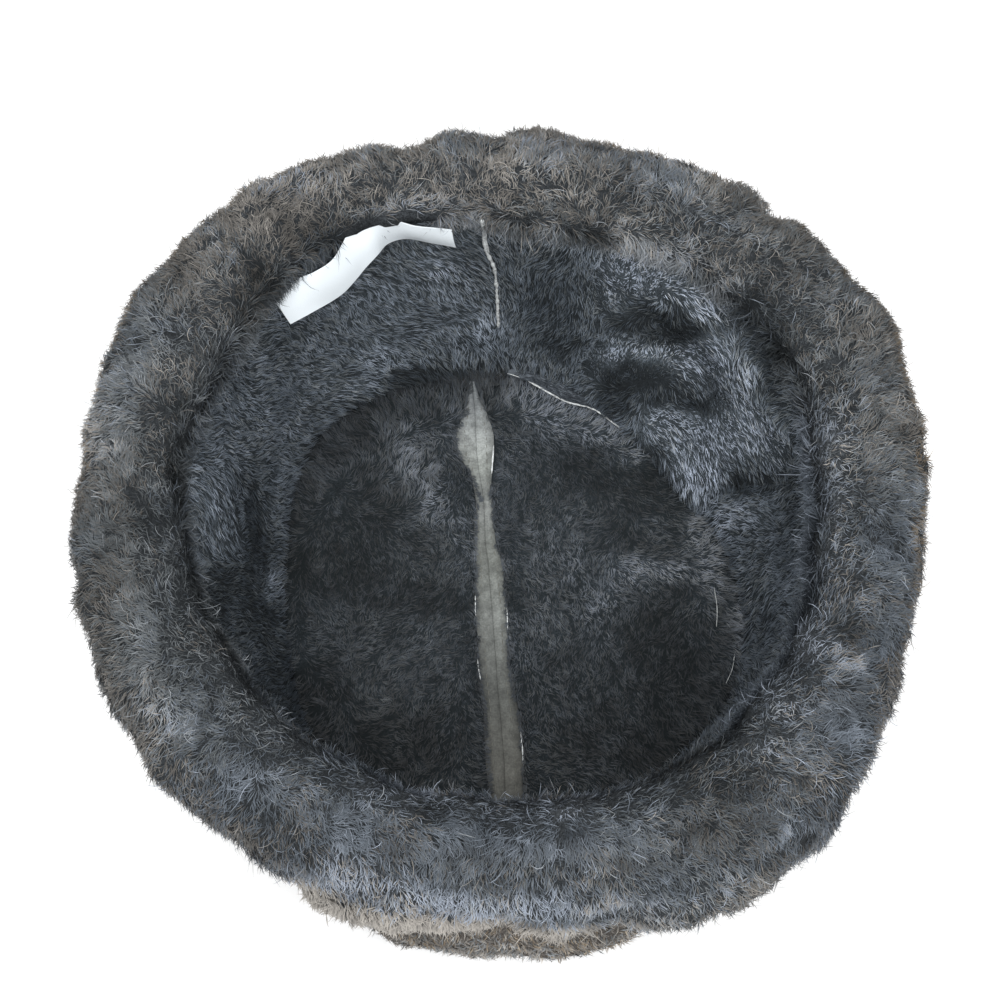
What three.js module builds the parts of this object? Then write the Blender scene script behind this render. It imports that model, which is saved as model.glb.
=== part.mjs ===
// A cossack hat of dark sheared sheepskin, lying on its crown with the mouth up.
// Millimetres. X runs to the right, Y towards the back of the hat, Z up from the resting face.
import * as THREE from "three";

// Driving sizes
const ROLL_TOP = 125.5;
const MOUTH_LEVEL = 108;
const CUFF_EDGE_LEVEL = 79;
const CROWN_FLOOR = 17;
const CROWN_JOIN_LEVEL = 23;
const CROWN_SKIN_TOP = 9;
const LINING_THICKNESS = 8;
const WALL_UNDER_CUFF = 7;
const GAP = 0.3;
const SEGMENTS_AROUND = 72;

// Plan of the hat: each row is a bearing in degrees, counted from the right side towards the back.
// seam is where the lining's crown meets its wall, crown the outside fur at the crown, mouth the
// crease where the lining meets the cuff, and rim the outside of the rolled cuff.
const PLAN = [
  { bearing: 0, seam: 85.5, crown: 114, mouth: 96.3, rim: 131.5 },
  { bearing: 15, seam: 82.3, crown: 111, mouth: 98, rim: 134.5 },
  { bearing: 30, seam: 77, crown: 108, mouth: 98.6, rim: 134.5 },
  { bearing: 45, seam: 78, crown: 109, mouth: 98, rim: 132.5 },
  { bearing: 60, seam: 81.5, crown: 112, mouth: 95.6, rim: 131.5 },
  { bearing: 75, seam: 87, crown: 117, mouth: 92, rim: 130.5 },
  { bearing: 90, seam: 92, crown: 120, mouth: 93.5, rim: 129.5 },
  { bearing: 105, seam: 91.7, crown: 120.5, mouth: 98.5, rim: 129.3 },
  { bearing: 120, seam: 92.5, crown: 121, mouth: 101.5, rim: 130 },
  { bearing: 135, seam: 93, crown: 120, mouth: 99.2, rim: 131 },
  { bearing: 150, seam: 87, crown: 115, mouth: 96.6, rim: 132 },
  { bearing: 165, seam: 80, crown: 110, mouth: 96.2, rim: 132 },
  { bearing: 180, seam: 77.6, crown: 107, mouth: 98.2, rim: 130.8 },
  { bearing: 195, seam: 78, crown: 107.5, mouth: 98.2, rim: 131 },
  { bearing: 210, seam: 81, crown: 111, mouth: 98.6, rim: 133 },
  { bearing: 225, seam: 86.5, crown: 116.5, mouth: 99.3, rim: 133 },
  { bearing: 240, seam: 91.5, crown: 120, mouth: 101, rim: 131 },
  { bearing: 255, seam: 95.5, crown: 121, mouth: 102, rim: 129 },
  { bearing: 270, seam: 96.5, crown: 125, mouth: 103, rim: 129.5 },
  { bearing: 285, seam: 94, crown: 128, mouth: 104.5, rim: 132 },
  { bearing: 300, seam: 88.5, crown: 122, mouth: 106, rim: 138.5 },
  { bearing: 315, seam: 85.2, crown: 115.5, mouth: 104, rim: 140 },
  { bearing: 330, seam: 88.8, crown: 114.5, mouth: 101.5, rim: 135 },
  { bearing: 345, seam: 88, crown: 115, mouth: 97.5, rim: 130.5 },
];

// Dents and swellings of the rim: width in degrees, out and up in millimetres.
const RIM_DENTS = [
  { bearing: 36, width: 3.5, out: -3, up: -1.5 },
  { bearing: 47, width: 3.5, out: -3, up: -1.5 },
  { bearing: 66, width: 5, out: 1.5, up: 1 },
  { bearing: 77, width: 4, out: -1.5, up: -1 },
  { bearing: 84, width: 4, out: 1.5, up: 1 },
  { bearing: 103, width: 5, out: -1.5, up: -1 },
  { bearing: 112, width: 5, out: 1.5, up: 0.5 },
  { bearing: 202, width: 3.5, out: -2, up: 0 },
  { bearing: 225, width: 8, out: -1.5, up: -1.5 },
  { bearing: 336, width: 4, out: -2, up: -0.5 },
];

// Folds of the lining wall: where it stands proud (positive) or sinks back (negative).
const LINING_FOLDS = [
  { bearing: 183, level: 72, width: 14, height: 26, proud: 9 },
  { bearing: 192, level: 42, width: 5, height: 12, proud: 2.5 },
  { bearing: 207, level: 70, width: 5, height: 24, proud: -2 },
  { bearing: 22, level: 104, width: 26, height: 8, proud: -3 },
  { bearing: 25, level: 90, width: 20, height: 10, proud: 2.5 },
  { bearing: 26, level: 62, width: 10, height: 24, proud: 3.5 },
  { bearing: 41, level: 58, width: 5, height: 14, proud: -3.5 },
  { bearing: 50, level: 90, width: 10, height: 12, proud: 3.5 },
  { bearing: 55, level: 72, width: 5, height: 10, proud: -3.5 },
  { bearing: 64, level: 50, width: 8, height: 18, proud: 2.5 },
  { bearing: 8, level: 88, width: 7, height: 24, proud: -3 },
  { bearing: 110, level: 60, width: 12, height: 22, proud: 2 },
  { bearing: 148, level: 62, width: 9, height: 26, proud: 2.5 },
  { bearing: 240, level: 50, width: 14, height: 24, proud: 2.5 },
  { bearing: 305, level: 70, width: 12, height: 24, proud: -2.5 },
];

// Waves that lay the cuff's long pile in soft clumps
const CLUMP_WAVES = [
  { around: 9, along: 2.1, phase: 0.6, height: 0.8 },
  { around: 14, along: -3.4, phase: 2.3, height: 0.7 },
  { around: 23, along: 4.7, phase: 4.1, height: 0.5 },
];

// The cuff's cut through one side, from the crease over the roll and down to the free edge.
// share runs from the mouth to the rim, inset is how far it then lies back towards the head, and
// lock is the height of the pile's locks on the stretch below that place.
const CUFF_FUR_STATIONS = [
  { share: 0, inset: 0, level: 108.8, lock: 1.8 },
  { share: 0, inset: 1.2, level: 113.5, lock: 2.2 },
  { share: 0.06, inset: 0, level: 119, lock: 2.8 },
  { share: 0.24, inset: 0, level: 124, lock: 3.2 },
  { share: 0.48, inset: 0, level: ROLL_TOP, lock: 3.4 },
  { share: 0.71, inset: 0, level: 123.4, lock: 3.4 },
  { share: 0.9, inset: 0, level: 116.5, lock: 3.4 },
  { share: 1, inset: 0.3, level: 106, lock: 3.4 },
  { share: 1, inset: 0.8, level: 95, lock: 3.2 },
  { share: 1, inset: 3, level: 85, lock: 2.6 },
];
const CUFF_EDGE_INSET = 6.5;
const WALL_LOCK_HEIGHT = 2.2;

// Levels of the side wall's fur, with how far the wall swells there past a straight taper
const OUTER_WALL_LEVELS = [
  { level: CROWN_JOIN_LEVEL + GAP, swell: 1.2 },
  { level: 34, swell: 2.6 },
  { level: 46, swell: 3 },
  { level: 57, swell: 2.4 },
  { level: 68, swell: 1.2 },
  { level: CUFF_EDGE_LEVEL, swell: 0 },
];

// The leather strips of the crown seam: y is the place from front to back, middle the seam's x,
// left and right the widths of the two allowances.
const CROWN_SEAM_ROWS = [
  { y: -84, middle: 1.8, left: 5.6, right: 5.6 },
  { y: -70, middle: 1.2, left: 5.6, right: 5.6 },
  { y: -52, middle: 0.2, left: 5.4, right: 5.4 },
  { y: -32, middle: -0.7, left: 5.2, right: 5 },
  { y: -10, middle: -2.8, left: 4.7, right: 5.4 },
  { y: 10, middle: -4.2, left: 4.4, right: 5 },
  { y: 30, middle: -6, left: 3.2, right: 4.2 },
  { y: 44, middle: -7.4, left: 3.4, right: 3.6 },
  { y: 56, middle: -8.4, left: 6, right: 6.4 },
  { y: 70, middle: -9.5, left: 6.2, right: 6.6 },
  { y: 82, middle: -10.8, left: 2.4, right: 4 },
];
const LEATHER_THICKNESS = 1.2;
const TROUGH_LEVEL = 13.4;
const TROUGH_HALF_WIDTH = 7.6;
const TROUGH_SHOULDER = 10.6;

// The leather edge left bare beside the crown seam at the back right
const EDGE_STRIP_ROWS = [
  { bearing: 85, width: 2.2 },
  { bearing: 80, width: 4.6 },
  { bearing: 74, width: 5 },
  { bearing: 68, width: 4 },
  { bearing: 62, width: 3.2 },
  { bearing: 57, width: 2.4 },
  { bearing: 53, width: 1.6 },
];

// The raw edge of the lining's back seam, from just under the cuff downwards
const BACK_SEAM_ROWS = [
  { level: 105, bearing: 93.2 },
  { level: 98, bearing: 93.4 },
  { level: 91, bearing: 92 },
  { level: 83, bearing: 91.4 },
  { level: 75, bearing: 90.8 },
  { level: 62, bearing: 90.5 },
  { level: 50, bearing: 90.4 },
];
const BACK_SEAM_WIDTH = 1.2;

// The label, a row for each place along it: its lower edge hangs drop below the crease and stands
// off the wall.
const LABEL_ROWS = [
  { bearing: 137.8, drop: 11.5, off: 5.4 },
  { bearing: 131.5, drop: 11.5, off: 7.6 },
  { bearing: 125.8, drop: 11, off: 8.6 },
  { bearing: 119.8, drop: 9, off: 6 },
  { bearing: 114.2, drop: 7, off: 2.2 },
  { bearing: 109.4, drop: 6, off: 1.6 },
  { bearing: 104.3, drop: 6.5, off: 2.6 },
  { bearing: 99.5, drop: 7.5, off: 3.8 },
];
const LABEL_TOP = 107.6;
const LABEL_THICKNESS = 0.8;

const LOOKS = {
  cuff: { color: 0x3d3c40, roughness: 0.95 },
  outer_fur: { color: 0x45413f, roughness: 0.95 },
  lining: { color: 0x33353c, roughness: 0.85 },
  crown_lining: { color: 0x26272b, roughness: 0.85 },
  leather: { color: 0x7d7769, roughness: 0.8 },
  raw_edge: { color: 0xb9bab4, roughness: 0.8 },
  label: { color: 0xe4e7ea, roughness: 0.6 },
};

const radians = THREE.MathUtils.degToRad;

// A repeatable scatter between 0 and 1 for lock (i, j)
function scatter(i, j) {
  const value = Math.sin(i * 12.9898 + j * 78.233) * 43758.5453;
  return value - Math.floor(value);
}

// How strongly a fold centred on one bearing is felt at another
function nearBearing(bearing, centre, width) {
  const apart = ((bearing - centre + 540) % 360) - 180;
  return Math.exp(-((apart / width) ** 2));
}

// One column of the plan at any bearing, as a smooth closed curve through its rows
function planRadius(column, bearing) {
  const step = 360 / PLAN.length;
  const place = (((bearing % 360) + 360) % 360) / step;
  const row = Math.floor(place);
  const t = place - row;
  const at = (k) => PLAN[(row + k + PLAN.length) % PLAN.length][column];
  const slopeIn = (at(1) - at(-1)) / 2;
  const slopeOut = (at(2) - at(0)) / 2;
  const t2 = t * t;
  const t3 = t2 * t;
  return (
    (2 * t3 - 3 * t2 + 1) * at(0) +
    (t3 - 2 * t2 + t) * slopeIn +
    (3 * t2 - 2 * t3) * at(1) +
    (t3 - t2) * slopeOut
  );
}

// The smooth wall behind the lining's folds: it bows out a little between seam and mouth
function linerRadius(bearing, level) {
  const rise = THREE.MathUtils.clamp((level - CROWN_FLOOR) / (MOUTH_LEVEL - CROWN_FLOOR), 0, 1);
  const seam = planRadius("seam", bearing);
  const mouth = planRadius("mouth", bearing);
  return seam + (mouth - seam) * rise + 3 * Math.sin(Math.PI * rise);
}

function liningPile(bearing, level) {
  let radius = linerRadius(bearing, level);
  for (const fold of LINING_FOLDS) {
    const here = Math.exp(-(((level - fold.level) / fold.height) ** 2));
    radius -= fold.proud * here * nearBearing(bearing, fold.bearing, fold.width);
  }
  return radius;
}

function outerWallInside(bearing, level) {
  return linerRadius(bearing, level) + LINING_THICKNESS + GAP;
}

// The outside of the side wall: full at the crown, pressed thin under the cuff
function outerWallOutside(bearing, level, swell) {
  const pressed = outerWallInside(bearing, level) + WALL_UNDER_CUFF;
  const rise = THREE.MathUtils.clamp((level - CROWN_JOIN_LEVEL) / (94 - CROWN_JOIN_LEVEL), 0, 1);
  const full = planRadius("crown", bearing) + swell;
  return full + (pressed - full) * THREE.MathUtils.smoothstep(rise, 0, 1);
}

function rimRadius(bearing) {
  let radius = planRadius("rim", bearing);
  for (const dent of RIM_DENTS) {
    radius += dent.out * nearBearing(bearing, dent.bearing, dent.width);
  }
  return radius;
}

function rimRise(bearing) {
  let rise = 0;
  for (const dent of RIM_DENTS) {
    rise += dent.up * nearBearing(bearing, dent.bearing, dent.width);
  }
  return rise;
}

function clump(bearing, along) {
  let height = 0;
  for (const wave of CLUMP_WAVES) {
    height += wave.height * Math.sin(wave.around * radians(bearing) + wave.along * along + wave.phase);
  }
  return height;
}

function polar(bearing, radius, level) {
  const turn = radians(bearing);
  return new THREE.Vector3(radius * Math.cos(turn), radius * Math.sin(turn), level);
}

// A closed solid from points and triangles, turned right side out if it is inside out
function solid(points, faces) {
  let volume = 0;
  for (const [a, b, c] of faces) {
    volume += points[a].dot(points[b].clone().cross(points[c]));
  }
  const indices = [];
  for (const [a, b, c] of faces) {
    indices.push(...(volume > 0 ? [a, b, c] : [a, c, b]));
  }
  const geometry = new THREE.BufferGeometry();
  geometry.setAttribute(
    "position",
    new THREE.Float32BufferAttribute(points.flatMap((point) => point.toArray()), 3),
  );
  geometry.setIndex(indices);
  geometry.computeVertexNormals();
  return geometry;
}

// A solid that runs round the hat. section(bearing) gives its cut as a list of { radius, level,
// lock } that goes up the inside, over the top, down the outside and back underneath. lock is the
// height of the fur locks raised on the stretch after that point. With poles, the list starts and
// ends on the middle axis and the solid is a dish, otherwise it is a ring.
function aroundHat(section, { poles = false } = {}) {
  const cuts = [];
  for (let i = 0; i < SEGMENTS_AROUND; i += 1) {
    const bearing = (360 * i) / SEGMENTS_AROUND;
    cuts.push(section(bearing).map((p) => ({ ...p, point: polar(bearing, p.radius, p.level) })));
  }
  const rows = cuts[0].length;
  const points = [];
  const faces = [];
  const index = cuts.map((cut, i) =>
    cut.map((place, j) => {
      if (poles && i > 0 && (j === 0 || j === rows - 1)) {
        return j === 0 ? 0 : rows - 1;
      }
      points.push(place.point);
      return points.length - 1;
    }),
  );
  const lastRow = poles ? rows - 1 : rows;
  for (let i = 0; i < SEGMENTS_AROUND; i += 1) {
    const next = (i + 1) % SEGMENTS_AROUND;
    for (let j = 0; j < lastRow; j += 1) {
      const after = (j + 1) % rows;
      const corners = [index[i][j], index[next][j], index[next][after], index[i][after]];
      const distinct = corners.filter((corner, k) => corners.indexOf(corner) === k);
      if (distinct.length === 3) {
        faces.push(distinct);
      } else if (cuts[i][j].lock) {
        const tip = lockTip(corners.map((corner) => points[corner]), cuts[i][j].lock, i, j);
        points.push(tip);
        for (let k = 0; k < 4; k += 1) {
          faces.push([corners[k], corners[(k + 1) % 4], points.length - 1]);
        }
      } else if (points[corners[2]].z > points[corners[0]].z) {
        faces.push([corners[0], corners[1], corners[2]], [corners[0], corners[2], corners[3]]);
      } else {
        faces.push([corners[0], corners[1], corners[3]], [corners[1], corners[2], corners[3]]);
      }
    }
  }
  return solid(points, faces);
}

// The tip of one lock: raised from its cell and combed along the lay, down the section
function lockTip([start, beside, across, below], height, i, j) {
  const middle = start.clone().add(beside).add(across).add(below).multiplyScalar(0.25);
  const down = below.clone().sub(start);
  const round = beside.clone().sub(start);
  const outward = down.clone().cross(round).normalize();
  const rise = height * (0.55 + 0.9 * scatter(i, j));
  return middle
    .addScaledVector(outward, rise)
    .addScaledVector(down, 0.12 + 0.22 * scatter(j, i))
    .addScaledVector(round, 0.5 * (scatter(i + 5, j) - 0.5));
}

// A thin closed plate from two grids of points that face each other
function plate(top, bottom) {
  const rows = top.length;
  const columns = top[0].length;
  const points = [...top.flat(), ...bottom.flat()];
  const under = rows * columns;
  const at = (i, j) => i * columns + j;
  const faces = [];
  const quad = (a, b, c, d) => faces.push([a, b, c], [a, c, d]);
  for (let i = 0; i < rows - 1; i += 1) {
    for (let j = 0; j < columns - 1; j += 1) {
      quad(at(i, j), at(i + 1, j), at(i + 1, j + 1), at(i, j + 1));
      quad(under + at(i, j), under + at(i, j + 1), under + at(i + 1, j + 1), under + at(i + 1, j));
    }
    quad(at(i, 0), under + at(i, 0), under + at(i + 1, 0), at(i + 1, 0));
    quad(at(i + 1, columns - 1), under + at(i + 1, columns - 1), under + at(i, columns - 1), at(i, columns - 1));
  }
  for (let j = 0; j < columns - 1; j += 1) {
    quad(at(0, j + 1), under + at(0, j + 1), under + at(0, j), at(0, j));
    quad(at(rows - 1, j), under + at(rows - 1, j), under + at(rows - 1, j + 1), at(rows - 1, j + 1));
  }
  return solid(points, faces);
}

function named(name, geometry, look) {
  const material = new THREE.MeshStandardMaterial({ ...LOOKS[look], metalness: 0 });
  const mesh = new THREE.Mesh(geometry, material);
  mesh.name = name;
  return mesh;
}

// The long-pile cuff: a thick roll over the mouth whose outer leg hangs down round the side wall
function cuff() {
  return aroundHat((bearing) => {
    const mouth = planRadius("mouth", bearing);
    const rim = rimRadius(bearing);
    const cut = CUFF_FUR_STATIONS.map((station, j) => {
      const free = Math.min(1, j / 3);
      const soft = free * clump(bearing, j);
      return {
        radius: mouth + (rim - mouth) * station.share - station.inset + soft * station.share,
        level: station.level + free * rimRise(bearing) + soft * (1 - station.share) * 0.8,
        lock: station.lock,
      };
    });
    const wallAt = (level) => outerWallOutside(bearing, level, 0) + GAP;
    const wallAtEdge = Math.max(wallAt(CUFF_EDGE_LEVEL), wallAt(CUFF_EDGE_LEVEL + 1));
    cut.push(
      { radius: rim - CUFF_EDGE_INSET, level: CUFF_EDGE_LEVEL },
      { radius: wallAtEdge, level: CUFF_EDGE_LEVEL + 1 },
      { radius: wallAt(94), level: 94 },
      { radius: wallAt(MOUTH_LEVEL), level: MOUTH_LEVEL + GAP },
      { radius: mouth + 3, level: MOUTH_LEVEL + GAP },
    );
    return cut;
  });
}

// The side wall of the outer shell, fur outside, its upper part pressed flat under the cuff
function outerBand() {
  return aroundHat((bearing) => {
    const bottom = CROWN_JOIN_LEVEL + GAP;
    const inside = [bottom, 50, 79, MOUTH_LEVEL].map((level) => ({
      radius: outerWallInside(bearing, level),
      level,
    }));
    const upper = [MOUTH_LEVEL, 94].map((level) => ({
      radius: outerWallOutside(bearing, level, 0),
      level,
    }));
    const fur = [...OUTER_WALL_LEVELS].reverse().map(({ level, swell }) => ({
      radius: outerWallOutside(bearing, level, swell),
      level,
      lock: level > bottom ? WALL_LOCK_HEIGHT : 0,
    }));
    return [...inside, ...upper, ...fur];
  });
}

// The outer crown: a shallow fur dish with a rounded edge and a flat face that it lies on
function outerCrown() {
  return aroundHat(
    (bearing) => {
      const edge = planRadius("crown", bearing);
      const well = outerWallInside(bearing, CROWN_FLOOR);
      return [
        { radius: 0, level: CROWN_SKIN_TOP },
        { radius: 0.55 * well, level: CROWN_SKIN_TOP },
        { radius: well, level: CROWN_SKIN_TOP },
        { radius: outerWallInside(bearing, CROWN_JOIN_LEVEL + GAP), level: CROWN_JOIN_LEVEL },
        { radius: edge + 1.2, level: CROWN_JOIN_LEVEL, lock: WALL_LOCK_HEIGHT },
        { radius: edge + 0.4, level: 14, lock: WALL_LOCK_HEIGHT },
        { radius: edge - 4, level: 5.5, lock: 1.4 },
        { radius: edge - 13, level: 1, lock: 0 },
        { radius: edge - 22, level: 0 },
        { radius: 0, level: 0 },
      ];
    },
    { poles: true },
  );
}

// The lining's wall, pile inwards, with the folds it has settled into
function liningBand() {
  return aroundHat((bearing) => {
    const bottom = CROWN_SKIN_TOP + GAP;
    const pile = [bottom, CROWN_FLOOR, 28, 40, 52, 64, 76, 88, 99, MOUTH_LEVEL].map((level) => ({
      radius: liningPile(bearing, level),
      level,
    }));
    const back = [MOUTH_LEVEL, 79, 50, CROWN_JOIN_LEVEL + GAP, bottom].map((level) => ({
      radius: linerRadius(bearing, level) + LINING_THICKNESS,
      level,
    }));
    return [...pile, ...back];
  });
}

// The middle of the crown seam and the widths of its two allowances, at any place along it
function seamAt(y) {
  const last = CROWN_SEAM_ROWS.length - 1;
  let row = 0;
  while (row < last - 1 && CROWN_SEAM_ROWS[row + 1].y < y) {
    row += 1;
  }
  const low = CROWN_SEAM_ROWS[row];
  const high = CROWN_SEAM_ROWS[row + 1];
  const t = (y - low.y) / (high.y - low.y);
  return {
    middle: THREE.MathUtils.lerp(low.middle, high.middle, t),
    left: THREE.MathUtils.lerp(low.left, high.left, THREE.MathUtils.clamp(t, 0, 1)),
    right: THREE.MathUtils.lerp(low.right, high.right, THREE.MathUtils.clamp(t, 0, 1)),
  };
}

// Height of the inner crown's pile: soft patches, and a flat trough where the seam strips lie
function crownPile(x, y) {
  const besideSeam = Math.abs(x - seamAt(y).middle);
  const patches = 0.8 * Math.sin(x * 0.07 + 1) * Math.cos(y * 0.06 + x * 0.03);
  const shoulder = THREE.MathUtils.smoothstep(besideSeam, TROUGH_HALF_WIDTH, TROUGH_SHOULDER);
  return THREE.MathUtils.lerp(TROUGH_LEVEL, CROWN_FLOOR - 1 + patches, shoulder);
}

// The radius where the crown's halves end, just short of the lining wall
function crownHalfEdge(x, y) {
  const bearing = THREE.MathUtils.radToDeg(Math.atan2(y, x));
  return Math.min(liningPile(bearing, CROWN_FLOOR), liningPile(bearing, CROWN_SKIN_TOP)) - GAP - 0.6;
}

// One half of the inner crown. side is -1 for the left half and 1 for the right.
function crownHalf(side) {
  const across = 6;
  const along = 16;
  const top = [];
  const bottom = [];
  for (let i = 0; i <= along; i += 1) {
    const y = THREE.MathUtils.lerp(-88, 84, i / along);
    const middle = seamAt(y).middle;
    const shoulder = middle + side * TROUGH_SHOULDER;
    let end = shoulder;
    while (Math.hypot(end + side, y) < crownHalfEdge(end + side, y)) {
      end += side;
    }
    const columns = [middle + side * GAP, middle + side * TROUGH_HALF_WIDTH];
    for (let j = 0; j <= across; j += 1) {
      columns.push(THREE.MathUtils.lerp(shoulder, end, j / across));
    }
    const topRow = [];
    const bottomRow = [];
    for (const x of columns) {
      topRow.push(new THREE.Vector3(x, y, crownPile(x, y)));
      bottomRow.push(new THREE.Vector3(x, y, CROWN_SKIN_TOP + GAP));
    }
    top.push(topRow);
    bottom.push(bottomRow);
  }
  return plate(top, bottom);
}

// One opened seam allowance of the inner crown, a leather strip lying in the trough of the pile
function seamStrip(side) {
  const steps = 24;
  const top = [];
  const bottom = [];
  for (let i = 0; i <= steps; i += 1) {
    const y = THREE.MathUtils.lerp(-84, 82, i / steps);
    const seam = seamAt(y);
    const width = side < 0 ? seam.left : seam.right;
    const topRow = [];
    const bottomRow = [];
    for (const share of [0.06, 0.5, 1]) {
      const x = seam.middle + side * width * share;
      bottomRow.push(new THREE.Vector3(x, y, TROUGH_LEVEL + GAP));
      topRow.push(new THREE.Vector3(x, y, TROUGH_LEVEL + GAP + LEATHER_THICKNESS));
    }
    top.push(topRow);
    bottom.push(bottomRow);
  }
  return plate(top, bottom);
}

// The bare leather edge beside the crown seam, lying on the inner crown against the wall
function edgeStrip() {
  const top = [];
  const bottom = [];
  for (const { bearing, width } of EDGE_STRIP_ROWS) {
    const outer = liningPile(bearing, CROWN_FLOOR + 2) - 1.4;
    const topRow = [];
    const bottomRow = [];
    for (const radius of [outer, outer - width]) {
      const place = polar(bearing, radius, 0);
      const level = crownPile(place.x, place.y) + GAP + 0.3;
      bottomRow.push(polar(bearing, radius, level));
      topRow.push(polar(bearing, radius, level + LEATHER_THICKNESS));
    }
    top.push(topRow);
    bottom.push(bottomRow);
  }
  return plate(top, bottom);
}

// The raw leather edge standing out of the lining's back seam
function backSeamEdge() {
  const top = [];
  const bottom = [];
  for (const { level, bearing } of BACK_SEAM_ROWS) {
    const wall = liningPile(bearing, level) - GAP - 0.4;
    const half = THREE.MathUtils.radToDeg(BACK_SEAM_WIDTH / 2 / wall);
    const edges = [bearing - half, bearing + half];
    bottom.push(edges.map((turn) => polar(turn, wall, level)));
    top.push(edges.map((turn) => polar(turn, wall - BACK_SEAM_WIDTH, level)));
  }
  return plate(top, bottom);
}

// The woven label: its top edge is caught in the crease, its lower edge waves free of the wall
function label() {
  const front = [];
  const back = [];
  for (const { bearing, drop, off } of LABEL_ROWS) {
    const low = LABEL_TOP - drop;
    const topEdge = polar(bearing, liningPile(bearing, LABEL_TOP) - GAP, LABEL_TOP);
    const lowEdge = polar(bearing, liningPile(bearing, low) - off, low);
    const inward = polar(bearing, -1, 0);
    const frontRow = [];
    const backRow = [];
    for (const share of [0, 0.35, 0.7, 1]) {
      const place = topEdge.clone().lerp(lowEdge, share);
      backRow.push(place);
      frontRow.push(place.clone().addScaledVector(inward, LABEL_THICKNESS));
    }
    front.push(frontRow);
    back.push(backRow);
  }
  return plate(front, back);
}

const hat = new THREE.Group();
hat.add(
  named("outer_crown", outerCrown(), "outer_fur"),
  named("outer_band", outerBand(), "outer_fur"),
  named("cuff", cuff(), "cuff"),
  named("lining_band", liningBand(), "lining"),
  named("lining_crown_left", crownHalf(-1), "crown_lining"),
  named("lining_crown_right", crownHalf(1), "crown_lining"),
  named("crown_seam_left", seamStrip(-1), "leather"),
  named("crown_seam_right", seamStrip(1), "leather"),
  named("crown_edge_strip", edgeStrip(), "leather"),
  named("back_seam_edge", backSeamEdge(), "raw_edge"),
  named("label", label(), "label"),
);

export default hat;
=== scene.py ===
import math

import bpy
import numpy as np
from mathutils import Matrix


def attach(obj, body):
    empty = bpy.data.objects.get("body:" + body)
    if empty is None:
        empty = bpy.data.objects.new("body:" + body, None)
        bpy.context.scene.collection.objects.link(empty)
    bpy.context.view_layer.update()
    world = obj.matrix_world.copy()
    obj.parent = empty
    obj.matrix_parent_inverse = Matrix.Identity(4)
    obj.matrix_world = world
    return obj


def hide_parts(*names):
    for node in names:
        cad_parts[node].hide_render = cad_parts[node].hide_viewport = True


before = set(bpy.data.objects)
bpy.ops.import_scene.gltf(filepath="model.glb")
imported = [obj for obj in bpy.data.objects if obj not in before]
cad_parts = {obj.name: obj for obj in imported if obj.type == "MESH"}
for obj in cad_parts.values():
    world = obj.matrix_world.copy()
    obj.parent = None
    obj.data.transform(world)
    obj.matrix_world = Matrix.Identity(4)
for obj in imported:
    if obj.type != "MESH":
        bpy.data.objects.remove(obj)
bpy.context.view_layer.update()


# The place
# The hat lies on its crown on a plain pale table in soft light, seen from the front and from well
# above its rim.
EYE_ELEVATION = 65
EYE_DISTANCE = 0.523
EYE_AIM = (0, -0.0092, 0.115)
TABLE_SIDE = 8
TABLE_DROP = 0.0003


def link_new(name, data):
    """A new object with the given mesh, lamp or camera, in the scene."""
    made = bpy.data.objects.new(name, data)
    bpy.context.scene.collection.objects.link(made)
    return made


lens = bpy.data.cameras.new("camera")
lens.lens = 62.2
lens.sensor_width = 36
eye = link_new("camera", lens)
eye_rise = math.radians(EYE_ELEVATION)
eye.location = (
    EYE_AIM[0],
    EYE_AIM[1] - EYE_DISTANCE * math.cos(eye_rise),
    EYE_AIM[2] + EYE_DISTANCE * math.sin(eye_rise),
)
eye.rotation_euler = (math.pi / 2 - eye_rise, 0, 0)
bpy.context.scene.camera = eye
bpy.context.scene.view_settings.view_transform = "Standard"

bpy.ops.object.select_all(action="DESELECT")
bpy.ops.mesh.primitive_plane_add(size=TABLE_SIDE, location=(0, 0, -TABLE_DROP))
table_top = bpy.context.active_object
table_top.name = "table_top"
table_finish = bpy.data.materials.new("pale table")
table_finish.use_nodes = True
table_shader = table_finish.node_tree.nodes["Principled BSDF"]
table_shader.inputs["Base Color"].default_value = (0.86, 0.86, 0.86, 1)
table_shader.inputs["Roughness"].default_value = 0.9
table_shader.inputs["Specular IOR Level"].default_value = 0.1
table_top.data.materials.append(table_finish)

room = bpy.data.worlds.new("room")
room.use_nodes = True
room.node_tree.nodes["Background"].inputs["Color"].default_value = (0.97, 0.985, 1, 1)
room.node_tree.nodes["Background"].inputs["Strength"].default_value = 0.5
bpy.context.scene.world = room

LAMPS = [
    {"name": "window", "place": (0.1, -0.75, 1.35), "size": 1.1, "power": 28},
    {"name": "top_light", "place": (-0.2, 0.25, 1.5), "size": 0.9, "power": 12},
]
for lamp in LAMPS:
    light = bpy.data.lights.new(lamp["name"], "AREA")
    light.size = lamp["size"]
    light.energy = lamp["power"]
    holder = link_new(lamp["name"], light)
    holder.location = lamp["place"]
    across = math.hypot(lamp["place"][0], lamp["place"][1])
    holder.rotation_euler = (
        0,
        math.atan2(across, lamp["place"][2]),
        math.atan2(lamp["place"][1], lamp["place"][0]),
    )


# The lining's crown
# Two halves of short sheepskin, pile up, sewn together along the middle. The pile lies flat in
# patches and is nearly black; it parts along the seam, where the leather allowances lie open.
def srgb(red, green, blue):
    """A colour given as it looks on a screen, 0 to 255, turned into light."""
    light = []
    for value in (red, green, blue):
        value /= 255
        light.append(value / 12.92 if value <= 0.04045 else ((value + 0.055) / 1.055) ** 2.4)
    return (*light, 1)


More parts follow.
